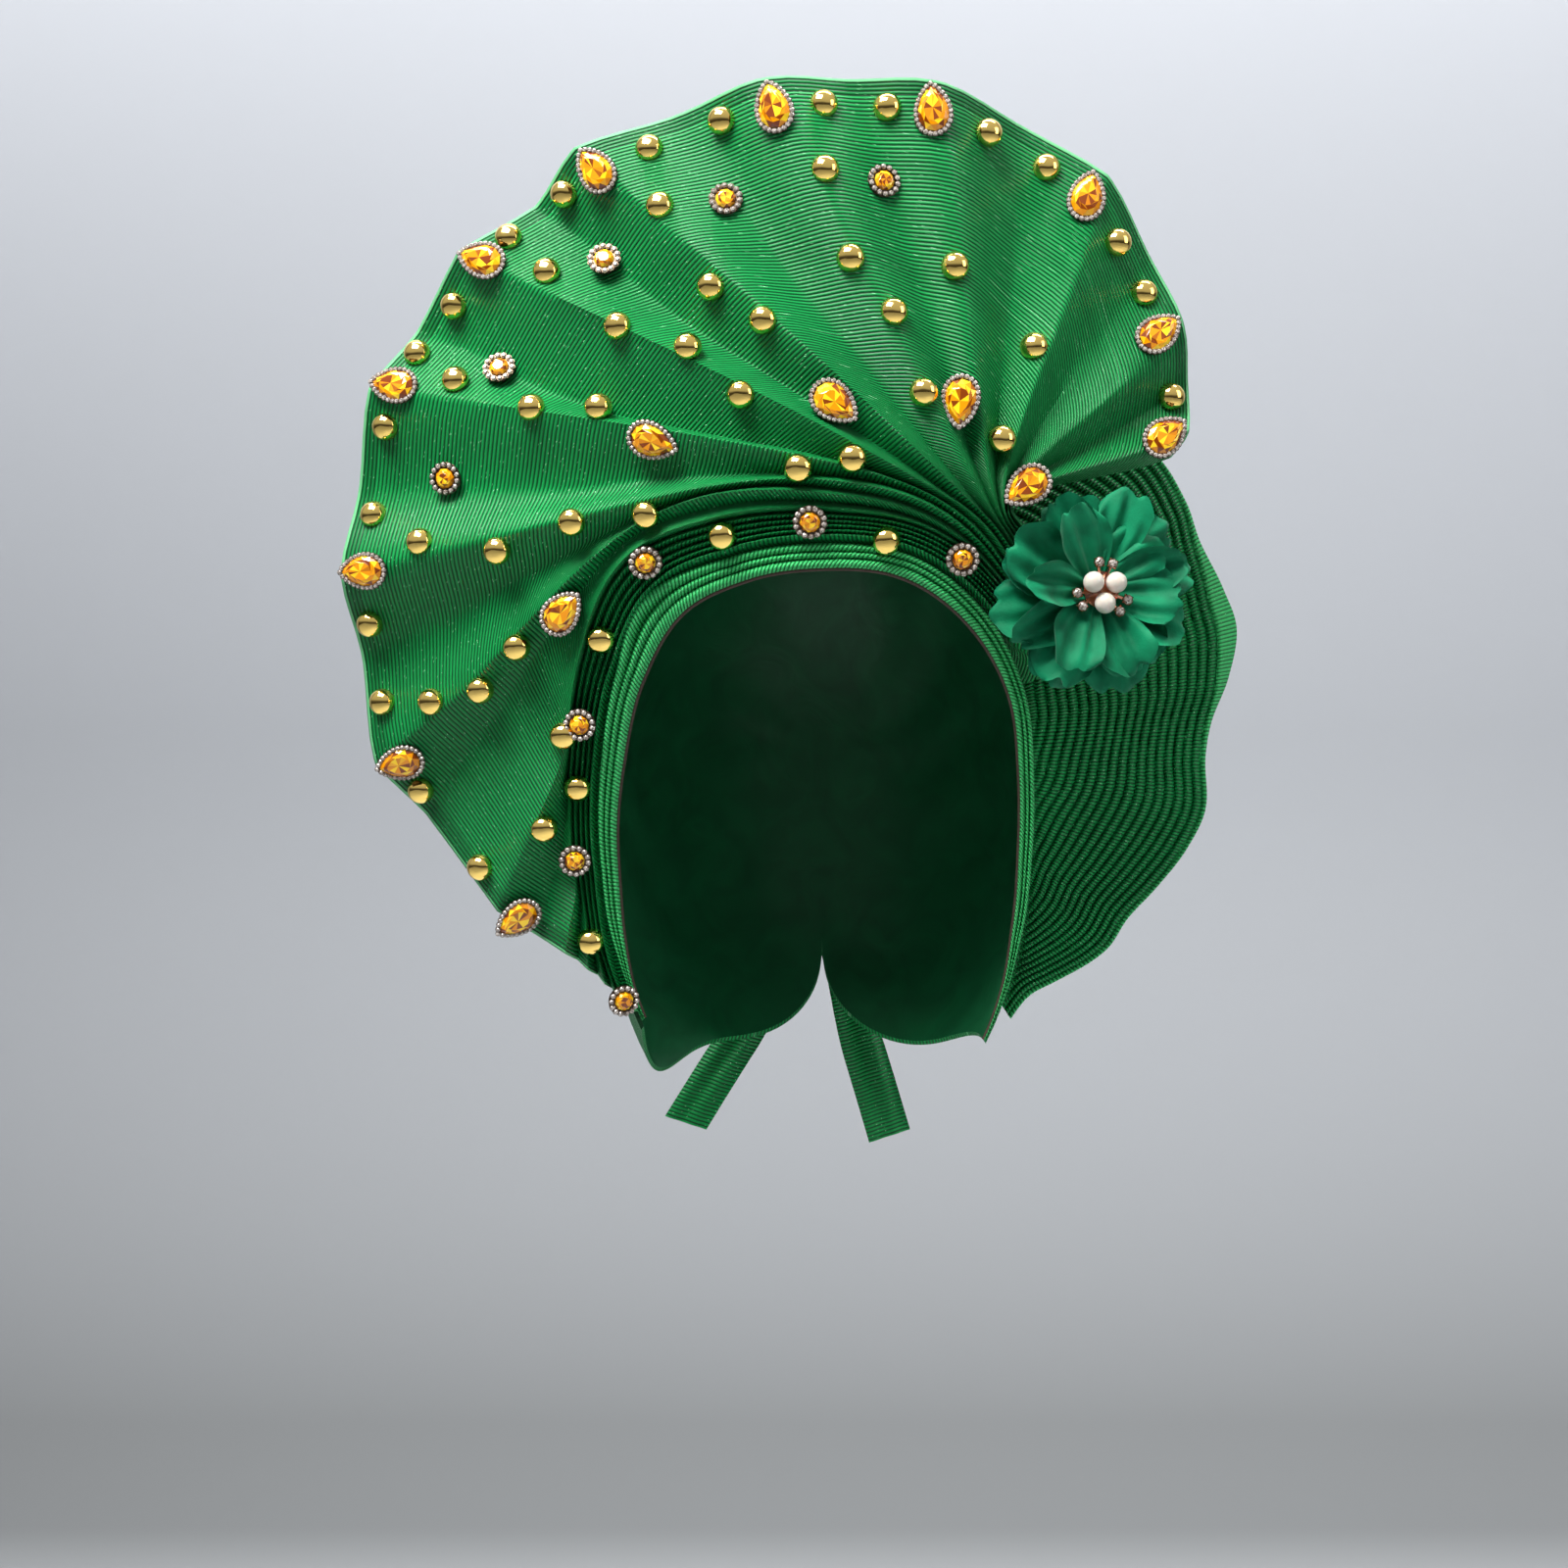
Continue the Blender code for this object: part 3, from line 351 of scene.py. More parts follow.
def finish_mesh(name, mesh, mats, sharp=50.0, smooth_faces=True):
    """Links a mesh as a piece on the part's body, shaded smooth but for its sharp edges."""
    for mat in mats:
        mesh.materials.append(mat)
    mesh.polygons.foreach_set("use_smooth", [smooth_faces] * len(mesh.polygons))
    if smooth_faces:
        mesh.set_sharp_from_angle(angle=math.radians(sharp))
    mesh.update()
    piece = bpy.data.objects.new(name, mesh)
    bpy.context.scene.collection.objects.link(piece)
    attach(piece, "root")
    return piece


def cloth_mesh(name, front, back, uvs, lined=False):
    """A closed cloth: a grid of front points, the grid behind it, and their edges joined.

    The UVs are metres along and across the cloth's cords. A lined cloth's front is its lining.
    """
    rows, columns = len(front), len(front[0])
    count = rows * columns
    points = [p for row in front for p in row] + [p for row in back for p in row]
    faces = []
    for i in range(rows - 1):
        for k in range(columns - 1):
            a = i * columns + k
            b, c, d = a + 1, a + columns + 1, a + columns
            faces.append((a, b, c, d))
            faces.append((d + count, c + count, b + count, a + count))
            if i == 0:
                faces.append((b, a, a + count, b + count))
            if i == rows - 2:
                faces.append((d, c, c + count, d + count))
            if k == 0:
                faces.append((a, d, d + count, a + count))
            if k == columns - 2:
                faces.append((c, b, b + count, c + count))
    mesh = bpy.data.meshes.new(name)
    mesh.from_pydata(points, [], faces)
    if lined:
        inner = [int(max(face) < count) for face in faces]
        mesh.polygons.foreach_set("material_index", inner)
    flat = np.array([uv for row in uvs for uv in row], dtype=np.float32)
    corners = np.empty(len(mesh.loops), dtype=np.int32)
    mesh.loops.foreach_get("vertex_index", corners)
    layer = mesh.uv_layers.new(name="cords")
    layer.data.foreach_set("uv", flat[corners % count].ravel())
    bm = bmesh.new()
    bm.from_mesh(mesh)
    bmesh.ops.remove_doubles(bm, verts=bm.verts, dist=0.00001)
    bmesh.ops.recalc_face_normals(bm, faces=bm.faces)
    bm.to_mesh(mesh)
    bm.free()
    return mesh


def moved_back(front, wall):
    return [[p + Vector((0.0, wall, 0.0)) for p in row] for row in front]


def surface_of(piece):
    mesh = piece.data
    return BVHTree.FromPolygons([v.co for v in mesh.vertices], [tuple(p.vertices) for p in mesh.polygons])


def cloth_at(surface, point):
    """The front of the cloth straight behind a point, or None past the cloth's edge."""
    return surface.ray_cast(Vector((point.x, -0.4, point.z)), Vector((0.0, 1.0, 0.0)))[0]


def on_cloth(surface, point):
    """A point of a foot, brought to just under the front of the cloth."""
    found = cloth_at(surface, point)
    if found is None or abs(found.y - point.y) > 0.006:
        return point
    return Vector((point.x, found.y + 0.0003, point.z))


def lifted(surface, place, ring, deep, most):
    """The place moved along its Z, so that the cloth inside the ring stands at most so deep over it."""
    facing = (place.to_3x3() @ Vector((0.0, 0.0, 1.0))).normalized()
    rises = []
    for point in ring + [Vector()]:
        found = cloth_at(surface, place @ point)
        if found is not None:
            rises.append((found - place.translation).dot(facing))
    shift = max(-0.0008, min(most, max(rises) - deep)) if rises else 0.0
    return Matrix.Translation(facing * shift) @ place


def piece_named(name):
    piece = bpy.data.objects.get(name)
    if piece is None:
        raise RuntimeError(f"{name} has to be made first")
    return piece


def placed(origin, facing, along):
    """Matrix with local Z along facing and local X as near as it can be to along."""
    side = (along - facing * along.dot(facing)).normalized()
    turned = Matrix((side, facing.cross(side), facing)).transposed().to_4x4()
    return Matrix.Translation(origin) @ turned


def node_place(name):
    """The seat of a stone's node: the middle of its flat back, with X towards its tip."""
    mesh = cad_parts[name].data
    points = np.array([v.co[:] for v in mesh.vertices])
    middle = points.mean(axis=0)
    spread, axes = np.linalg.eigh(np.cov((points - middle).T))
    facing, across, along = axes[:, 0], axes[:, 1], axes[:, 2]
    if facing[1] > 0.0:
        facing = -facing
    local = points - middle
    if np.sum((local @ along) * np.abs(local @ across)) > 0.0:
        along = -along
    low, high = local.min(axis=0), local.max(axis=0)
    reach = [(local @ axis) for axis in (along, across, facing)]
    origin = middle + along * 0.5 * (reach[0].min() + reach[0].max())
    origin = origin + across * 0.5 * (reach[1].min() + reach[1].max()) + facing * reach[2].min()
    # The front of a stone is turned a little further out of the slope of its cloth
    turned = (Vector(facing) * 0.7 + Vector((0.0, -0.3, 0.0))).normalized()
    return placed(Vector(origin) + turned * 0.0005, turned, Vector(along))


# Materials


def linear(hex_colour):
    """Linear colour of an sRGB hex value."""
    parts = [int(hex_colour[i : i + 2], 16) / 255.0 for i in (1, 3, 5)]
    return tuple(p / 12.92 if p <= 0.04045 else ((p + 0.055) / 1.055) ** 2.4 for p in parts)


def add_node(tree, kind, values=None, links=None, **settings):
    """Adds a node with its settings, its input values and its links."""
    item = tree.nodes.new(kind)
    for name, value in settings.items():
        setattr(item, name, value)
    for key, value in (values or {}).items():
        item.inputs[key].default_value = value
    for key, source in (links or {}).items():
        tree.links.new(source, item.inputs[key])
    return item


def new_material(name, **sockets):
    """A material with constants set on its own shader."""
    mat = bpy.data.materials.new(name)
    mat.use_nodes = True
    shader = mat.node_tree.nodes["Principled BSDF"]
    for key, value in sockets.items():
        socket = shader.inputs[key.replace("_", " ")]
        if hasattr(value, "__len__") and len(value) == 3 and socket.type == "RGBA":
            value = (*value, 1.0)
        socket.default_value = value
    return mat, mat.node_tree, shader


def ramp_of(tree, factor, stops, interpolation="LINEAR"):
    """A colour ramp over a factor, from (place, colour) stops."""
    ramp = add_node(tree, "ShaderNodeValToRGB", links={"Fac": factor})
    ramp.color_ramp.interpolation = interpolation
    elements = ramp.color_ramp.elements
    while len(elements) < len(stops):
        elements.new(0.5)
    for element, (place, colour) in zip(elements, stops):
        element.position = place
        element.color = (*colour, 1.0)
    return ramp.outputs["Color"]


def corded_cloth(name, pitch, valley, crest, glitter, hem=0.0, height=0.0004):
    """Polyester grosgrain, woven with raised cords: satin crests, painted shade darkening the valleys between
    them, and a fine glitter thread.
    """
    mat, tree, shader = new_material(
        name, Roughness=0.4, IOR=1.5, Specular_IOR_Level=0.2
    )
    place = add_node(tree, "ShaderNodeUVMap", uv_map="cords").outputs["UV"]
    axes = add_node(tree, "ShaderNodeSeparateXYZ", links={"Vector": place}).outputs
    half_turn = add_node(
        tree, "ShaderNodeMath", {1: math.pi / pitch}, {0: axes["Y"]}, operation="MULTIPLY"
    ).outputs[0]
    wave = add_node(tree, "ShaderNodeMath", None, {0: half_turn}, operation="SINE").outputs[0]
    cord = add_node(tree, "ShaderNodeMath", None, {0: wave}, operation="ABSOLUTE").outputs[0]
    # Threads over the cords are drawn 0.35 mm apart, coarser than real ones, so that they show
    threads = add_node(
        tree, "ShaderNodeMapping", {"Scale": (1 / 0.00035, 1 / 0.004, 1.0)}, {"Vector": place}
    ).outputs[0]
    weave = add_node(
        tree, "ShaderNodeTexNoise", {"Scale": 1.0, "Detail": 2.0}, {"Vector": threads}
    ).outputs[0]
    broad = add_node(
        tree, "ShaderNodeTexNoise", {"Scale": 22.0, "Detail": 3.0}, {"Vector": place}
    ).outputs[0]
    middle = [0.5 * (a + b) for a, b in zip(valley, crest)]
    # Painted shade: dark in the valleys between the cords, lighter on their crests, following the bump's
    # height
    tint = ramp_of(tree, cord, ((0.18, valley), (0.5, middle), (0.85, crest)))
    tones = {"From Min": 0.3, "From Max": 0.7, "To Min": 0.86, "To Max": 1.1}
    shade = add_node(tree, "ShaderNodeMapRange", tones, {"Value": broad}).outputs[0]
    tones = {"From Min": 0.3, "From Max": 0.7, "To Min": 0.85, "To Max": 1.12}
    fleck = add_node(tree, "ShaderNodeMapRange", tones, {"Value": weave}).outputs[0]
    both = add_node(tree, "ShaderNodeMath", None, {0: shade, 1: fleck}, operation="MULTIPLY").outputs[0]
    if hem:
        # The hem is two layers pressed hard, and looks darker
        strip = add_node(tree, "ShaderNodeMath", {1: hem}, {0: axes["Y"]}, operation="LESS_THAN").outputs[0]
        pressed = add_node(
            tree, "ShaderNodeMapRange", {"To Min": 1.0, "To Max": 0.7}, {"Value": strip}
        ).outputs[0]
        both = add_node(tree, "ShaderNodeMath", None, {0: both, 1: pressed}, operation="MULTIPLY").outputs[0]
    toned = add_node(
        tree, "ShaderNodeVectorMath", None, {0: tint, "Scale": both}, operation="SCALE"
    ).outputs[0]
    # Glitter specks, one in five cells 0.9 mm across
    cells = add_node(tree, "ShaderNodeTexVoronoi", {"Scale": 1 / 0.0009}, {"Vector": place})
    near = add_node(
        tree, "ShaderNodeMath", {1: 0.16}, {0: cells.outputs["Distance"]}, operation="LESS_THAN"
    ).outputs[0]
    chance = add_node(tree, "ShaderNodeSeparateXYZ", links={"Vector": cells.outputs["Color"]}).outputs["X"]
    lucky = add_node(tree, "ShaderNodeMath", {1: 0.80}, {0: chance}, operation="GREATER_THAN").outputs[0]
    speck = add_node(tree, "ShaderNodeMath", None, {0: near, 1: lucky}, operation="MULTIPLY").outputs[0]
    colour = add_node(
        tree, "ShaderNodeMix", {"B": (*glitter, 1.0)}, {"Factor": speck, "A": toned}, data_type="RGBA"
    ).outputs["Result"]
    relief = cord
    if hem:
        # Painted highlight: a paler line along the rim's folded edge
        edge = add_node(
            tree, "ShaderNodeMath", {1: 0.0010}, {0: axes["Y"]}, operation="LESS_THAN"
        ).outputs[0]
        light = [0.7 * c + 0.3 * g for c, g in zip(crest, glitter)]
        colour = add_node(
            tree, "ShaderNodeMix", {"B": (*light, 1.0)}, {"Factor": edge, "A": colour}, data_type="RGBA"
        ).outputs["Result"]
        aside = add_node(tree, "ShaderNodeMath", {1: hem}, {0: axes["Y"]}, operation="SUBTRACT").outputs[0]
        gap = add_node(tree, "ShaderNodeMath", None, {0: aside}, operation="ABSOLUTE").outputs[0]
        groove = add_node(
            tree, "ShaderNodeMapRange", {"From Min": 0.0, "From Max": 0.0006}, {"Value": gap}
        ).outputs[0]
        relief = add_node(tree, "ShaderNodeMath", None, {0: cord, 1: groove}, operation="MULTIPLY").outputs[0]
    tree.links.new(colour, shader.inputs["Base Color"])
    bump = add_node(
        tree, "ShaderNodeBump", {"Strength": 0.9, "Distance": height}, {"Height": relief}
    ).outputs["Normal"]
    fine = add_node(
        tree, "ShaderNodeBump", {"Strength": 0.3, "Distance": 0.00008}, {"Height": weave, "Normal": bump}
    ).outputs["Normal"]
    tree.links.new(fine, shader.inputs["Normal"])
    return mat


def chiffon(name, colour):
    """Crinkled polyester chiffon, drawn soft with a crepe grain; its slight see-through look and heat-sealed
    edges are not drawn.
    """
    mat, tree, shader = new_material(
        name, Roughness=0.6, IOR=1.45, Sheen_Weight=0.12, Sheen_Roughness=0.35, Specular_IOR_Level=0.15
    )
    place = add_node(tree, "ShaderNodeTexCoord").outputs["Object"]
    grain = add_node(
        tree, "ShaderNodeTexNoise", {"Scale": 1 / 0.0007, "Detail": 3.0}, {"Vector": place}
    ).outputs[0]
    broad = add_node(
        tree, "ShaderNodeTexNoise", {"Scale": 1 / 0.008, "Detail": 2.0}, {"Vector": place}
    ).outputs[0]
    dark = [0.7 * c for c in colour]
    pale = [min(1.0, 1.25 * c) for c in colour]
    tint = ramp_of(tree, broad, ((0.3, dark), (0.5, colour), (0.72, pale)))
    tree.links.new(tint, shader.inputs["Base Color"])
    bump = add_node(
        tree, "ShaderNodeBump", {"Strength": 0.5, "Distance": 0.00025}, {"Height": grain}
    ).outputs[0]
    tree.links.new(bump, shader.inputs["Normal"])
    return mat


def satin_lining(name, colour):
    """Thin polyester satin, faintly creased, that lines the cap, darker in the creases' hollows as painted
    shade.
    """
    mat, tree, shader = new_material(name, Roughness=0.5, IOR=1.5, Specular_IOR_Level=0.3)
    place = add_node(tree, "ShaderNodeTexCoord").outputs["Object"]
    crease = add_node(
        tree, "ShaderNodeTexNoise", {"Scale": 1 / 0.02, "Detail": 4.0, "Distortion": 1.5}, {"Vector": place}
    ).outputs[0]
    # Painted shade: darker where the creases sink
    tint = ramp_of(tree, crease, ((0.3, [0.7 * c for c in colour]), (0.7, colour)))
    tree.links.new(tint, shader.inputs["Base Color"])
    bump = add_node(
        tree, "ShaderNodeBump", {"Strength": 0.4, "Distance": 0.001}, {"Height": crease}
    ).outputs[0]
    tree.links.new(bump, shader.inputs["Normal"])
    return mat


def plated_metal(name, colour, roughness):
    """Electroplated metal over a polished casting: a mirror with faint rubbing marks."""
    mat, tree, shader = new_material(name, Base_Color=colour, Metallic=1.0)
    place = add_node(tree, "ShaderNodeTexCoord").outputs["Object"]
    rub = add_node(
        tree, "ShaderNodeTexNoise", {"Scale": 1 / 0.003, "Detail": 4.0}, {"Vector": place}
    ).outputs[0]
    worn = add_node(
        tree,
        "ShaderNodeMapRange",
        {"From Min": 0.35, "From Max": 0.75, "To Min": roughness, "To Max": roughness + 0.08},
        {"Value": rub},
    ).outputs[0]
    tree.links.new(worn, shader.inputs["Roughness"])
    return mat


def cut_glass(name, dark, mid, glint_tone, metallic):
    """Foil-backed cut glass under a clear gloss: each facet is painted a dark, middle or light tone of its
    colour, as painted reflections and glints.
    """
    mat, tree, shader = new_material(
        name, Metallic=metallic, Roughness=0.15, IOR=1.52, Coat_Weight=0.25, Coat_Roughness=0.02
    )
    facet = add_node(tree, "ShaderNodeAttribute", attribute_name="facet").outputs["Fac"]
    # Painted reflections: a random value picks each facet's dark reflection, body colour or glint
    tint = ramp_of(tree, facet, ((0.0, dark), (0.22, dark), (0.34, mid), (0.68, mid), (0.85, glint_tone)))
    tree.links.new(tint, shader.inputs["Base Color"])
    return mat


def pearl_coat(name, colour):
    """Glass pearl dipped in pearl lacquer: creamy, with a soft glow under a clear gloss."""
    mat, tree, shader = new_material(
        name,
        Roughness=0.28,
        IOR=1.53,
        Coat_Weight=0.6,
        Coat_Roughness=0.08,
        Sheen_Weight=0.2,
        Subsurface_Weight=0.15,
        Subsurface_Scale=0.001,
    )
    place = add_node(tree, "ShaderNodeTexCoord").outputs["Object"]
    cloud = add_node(
        tree, "ShaderNodeTexNoise", {"Scale": 1 / 0.003, "Detail": 2.0}, {"Vector": place}
    ).outputs[0]
    tint = ramp_of(tree, cloud, ((0.3, [0.9 * c for c in colour]), (0.7, colour)))
    tree.links.new(tint, shader.inputs["Base Color"])
    return mat


def painted_board(name, front, low, high):
    """Matt painted board of a photographer's sweep: pale in front and on the wall, with painted shade making
    it greyer where the floor curves up.
    """
    mat, tree, shader = new_material(name, Roughness=0.85, Specular_IOR_Level=0.1)
    place = add_node(tree, "ShaderNodeTexCoord").outputs["Object"]
    axes = add_node(tree, "ShaderNodeSeparateXYZ", links={"Vector": place}).outputs
    # Along the board: from the floor in front to the wall's top
    along = add_node(tree, "ShaderNodeMath", None, {0: axes["Y"], 1: axes["Z"]}, operation="ADD").outputs[0]
    share = add_node(
        tree, "ShaderNodeMapRange", {"From Min": -0.6, "From Max": 1.7}, {"Value": along}
    ).outputs[0]
    # Painted shade: greyer low down, where the floor curves up into the wall
    tint = ramp_of(tree, share, ((0.2, front), (0.33, low), (0.39, low), (1.0, high)))
    tree.links.new(tint, shader.inputs["Base Color"])
    return mat


def shared(name, make, *values):
    """A material by its name, made once."""
    return bpy.data.materials.get(name) or make(name, *values)


def gele_cloth(hem=0.0):
    """The main cloth, with or without its hem."""
    sizes, colours = bpy.context.scene.gele_sizes, bpy.context.scene.gele_colours
    name = "green_grosgrain_hemmed" if hem else "green_grosgrain"
    values = (sizes.cord_pitch, colours.cloth_valley_shade, colours.cloth_crest, colours.glitter, hem)
    return shared(name, corded_cloth, *values)


def gathered_cloth():
    """The main cloth where it is gathered in ribs, which press its cords flat: finer cords, with a little
    less painted shade in their valleys.
    """
    sizes, colours = bpy.context.scene.gele_sizes, bpy.context.scene.gele_colours
    # Painted shade between the cords, a touch lighter here
    valley = [0.95 * a + 0.05 * b for a, b in zip(colours.cloth_valley_shade, colours.cloth_crest)]
    values = (sizes.gathered_cord_pitch, valley, colours.cloth_crest, colours.glitter, 0.0, 0.0007)
    return shared("gathered_green_grosgrain", corded_cloth, *values)


def lit_cloth_copy():
    """A paler lit copy of the same cloth, for the band and the wing's flange: painted light, with painted
    shade in its cord valleys.
    """
    sizes, colours = bpy.context.scene.gele_sizes, bpy.context.scene.gele_colours
    values = (sizes.band_cord_pitch, colours.band_valley_shade, colours.band_crest_lit, colours.glitter, 0.0, 0.0005)
    return shared("painted_lit_green_grosgrain", corded_cloth, *values)


# Pieces


def length_property(name, description, default):
    return FloatProperty(name=name, description=description, default=default, unit="LENGTH")


class GeleSizes(bpy.types.PropertyGroup):
    """Sizes of the cloth and its trim."""

    cloth_wall: length_property("Cloth wall", "Thickness of the cloth", 0.0014)
    cord_pitch: length_property("Cord pitch", "Distance between the cords of the cloth", 0.00145)
    gathered_cord_pitch: length_property(
        "Gathered cord pitch", "Distance between the cords over the wing", 0.00125
    )
    rib_pitch: length_property("Rib pitch", "Distance between the wing's ribs", 0.0038)
    band_cord_pitch: length_property("Band cord pitch", "Distance between the cords across the band", 0.00145)
    hem: length_property("Hem", "Width of the fan's hem", 0.0062)
    bead_radius: length_property("Bead radius", "Radius of a gold half bead", 0.0048)
    bead_height: length_property("Bead height", "Height of a gold half bead", 0.0042)
    petal_width: length_property("Petal width", "Width that a petal is cut to", 0.0205)
    flower_radius: length_property("Flower radius", "Radius of the flower", 0.0345)
    pearl_radius: length_property("Pearl radius", "Radius of a pearl", 0.0035)


def colour_property(name, description, hex_colour):
    shown = {"name": name, "description": description, "default": linear(hex_colour)}
    return FloatVectorProperty(subtype="COLOR", size=3, min=0.0, max=1.0, **shown)


class GeleColours(bpy.types.PropertyGroup):
    """Colours of the cloth, metals and stones."""

    # Painted shade: the valley colours stand for the shade that falls between the cords
    cloth_valley_shade: colour_property("Cloth valleys", "Colour between the cords", "#023417")
    cloth_crest: colour_property("Cloth crests", "Colour on the cords", "#0f8842")
    # Painted light: the band's colours are a paler, lit copy of the cloth's, with painted shade in the
    # valleys
    band_valley_shade: colour_property("Band valleys", "Colour between the band's cords", "#066028")
    band_crest_lit: colour_property("Band crests", "Colour on the band's cords", "#40c06c")
    glitter: colour_property("Glitter", "Colour of the glitter thread", "#a8f0b8")
    # Partly painted shade: the lining's dark green stands also for the shade inside the cap
    lining: colour_property("Lining", "Colour of the cap's lining", "#0f5a33")
    chiffon: colour_property("Chiffon", "Colour of the flower", "#08704a")
    gold: colour_property("Gold", "Colour of the half beads", "#ffda7a")
    rose_gold: colour_property("Rose gold", "Colour of the brooch", "#e0a184")
    # Painted reflections: the dark and light colours of the stones stand for the reflections in their facets
    amber_dark_reflection: colour_property("Dark amber", "Deep facets of the stones", "#7a3400")
    amber: colour_property("Amber", "Middle colour of the stones", "#e38d00")
    amber_glint: colour_property("Light amber", "Bright facets of the stones", "#ffd21e")
    clear_dark_reflection: colour_property("Dark clear glass", "Deep facets of the small stones", "#6b5f56")
    clear: colour_property("Clear glass", "Middle colour of the small stones", "#9c9188")
    clear_glint: colour_property("Light clear glass", "Bright facets of the small stones", "#d6cec6")
    # Partly painted shade: the settings' dark brown stands for their antique silver and also for the shade
    # between the small stones
    silver: colour_property("Antique silver", "Colour of the settings", "#5f4f42")
    pearl: colour_property("Pearl", "Colour of the pearls", "#cdc4b6")
    # Partly painted shade: the edge's dark brown stands also for the shade in the gap at the face
    edge: colour_property("Edge", "Colour of the elastic at the face", "#3a281c")
    sweep: colour_property("Sweep", "Colour of the backdrop on the wall", "#cfd2d8")
    # Painted shade at the foot of the backdrop
    bend: colour_property("Bend", "Colour of the backdrop where it bends up", "#6c6e6f")
    floor: colour_property("Floor", "Colour of the backdrop on the floor", "#b8babc")


class GELE_OT_fan(bpy.types.Operator):
    """The pleated fan, from its gathered stack over the brow to the hemmed rim"""

    bl_idname = "gele.fan"
    bl_label = "Pleated fan"

    def execute(self, context):
        sizes = context.scene.gele_sizes
        rows = 220
        across = (0.0, 0.07, 0.27, 0.5, 0.73, 0.93)
        lines = fold_lines(rows)
        self.shallow_notches(lines)
        tucked, tucked_length = evenly(
            [Vector(at_bearing(HEAD_CENTRE, b, band_edge(b) - 0.002)) for b in range(TAIL_LOW, 236)], rows
        )
        forward = []
        for k, (line, length) in enumerate(lines):
            depths = []
            for i, point in enumerate(line):
                depth = FAN_FORWARD * outside_band(point.x, point.y)
                if k % 2 == 1:
                    beside = lines[k - 1][0][i], lines[k + 1][0][i]
                    gap = min((point - other).length for other in beside)
                    opened = 1.0 - math.exp(-gap / PLEAT_OPENS)
                    depth += ROLL_DEPTH + (PLEAT_DEPTH - ROLL_DEPTH) * opened
                elif k < len(lines) - 1:
                    beside = lines[max(k - 1, 0)][0][i], lines[k + 1][0][i]
                    gap = min((point - other).length for other in beside)
                    depth += PLEAT_DEPTH * panel_softness(k)[1] * soft_step(gap / 0.015)
                depths.append(depth)
            forward.append(depths)
        self.narrow_panels(lines)
        front, uvs = [], []
        for i in range(rows + 1):
            share = 1.0 - i / rows
            x, z = tucked[i]
            row = [Vector((x, front_depth(x, z) + 0.0027, z))]
            row_uvs = [(-(lines[0][0][i] - tucked[i]).length, share * tucked_length)]
            walked = 0.0
            last = len(lines) - 1
            for k in range(last):
                (line, length), (after, after_length) = lines[k], lines[k + 1]
                before, beyond = lines[max(k - 1, 0)][0][i], lines[min(k + 2, last)][0][i]
                span = (after[i] - line[i]).length
                soft = panel_softness(k)[0]
                for s in across + ((1.0,) if k == last - 1 else ()):
                    curve = rounded(before, line[i], after[i], beyond, s)
                    x, z = line[i].lerp(after[i], s).lerp(curve, 0.2 + 0.8 * soft)
                    e = self.depth_share(k, s, soft, 1.0 - min(1.0, span / 0.011))
                    deep = forward[k][i] + (forward[k + 1][i] - forward[k][i]) * e
                    dent = noise.noise(Vector((x, z, 0.3 * k)) * 28.0) * min(1.0, span / 0.012)
                    y = front_depth(x, z) - deep + 0.0008 * dent
                    row.append(Vector((x, y, z)))
                    row_uvs.append((walked + s * span, share * (length + (after_length - length) * s)))
                walked += span
            front.append(row)
            uvs.append(row_uvs)
        mesh = cloth_mesh("fan_cloth", front, moved_back(front, sizes.cloth_wall), uvs)
        fan = finish_mesh("fan_cloth", mesh, [gele_cloth(sizes.hem)], 60.0)
        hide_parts("fan")
        return {"FINISHED"}

    def narrow_panels(self, lines):
        """Brings some valleys near the ridge before them, away from the rim, so that the panel narrows."""
        for k, most in ((16, 0.15), (18, 0.70), (20, 0.30), (22, 0.20)):
            valley = lines[k][0]
            for i in range(len(valley)):
                a, b = lines[k - 1][0][i], lines[k + 1][0][i]
                inwards = soft_step((0.98 - i / (len(valley) - 1)) / 0.35) * soft_step((b - a).length / 0.02)
                valley[i] = valley[i].lerp(a, most * inwards)

    def depth_share(self, k, s, soft, gathered):
        """How far the panel after line k has gone from one line's depth to the other's."""
        sharp = 0.5 - 0.5 * math.cos(math.pi * s)
        # An open panel is steep beside its ridge and level in its valley
        hang = 1.0 - math.cos(0.5 * math.pi * s) if k % 2 == 0 else math.sin(0.5 * math.pi * s)
        flat = 0.45 * s + 0.55 * hang
        # A gathered fold is a round tube with a narrow valley beside it
        tube = math.sin(0.5 * math.pi * s) if k % 2 == 0 else 1.0 - math.sin(0.5 * math.pi * (1.0 - s))
        opened = flat + (sharp - flat) * soft
        return opened + (tube - opened) * gathered

    def shallow_notches(self, lines):
        """Brings each crisp valley's end out towards the straight line between the ridges beside it."""
        for k in range(2, 20, 2):
            valley = lines[k][0]
            for i in range(len(valley)):
                a, b = lines[k - 1][0][i], lines[k + 1][0][i]
                along = (b - a).normalized()
                aside = valley[i] - a
                aside = aside - along * aside.dot(along)
                valley[i] = valley[i] - aside * 0.5 * soft_step((i / (len(valley) - 1) - 0.5) / 0.5)


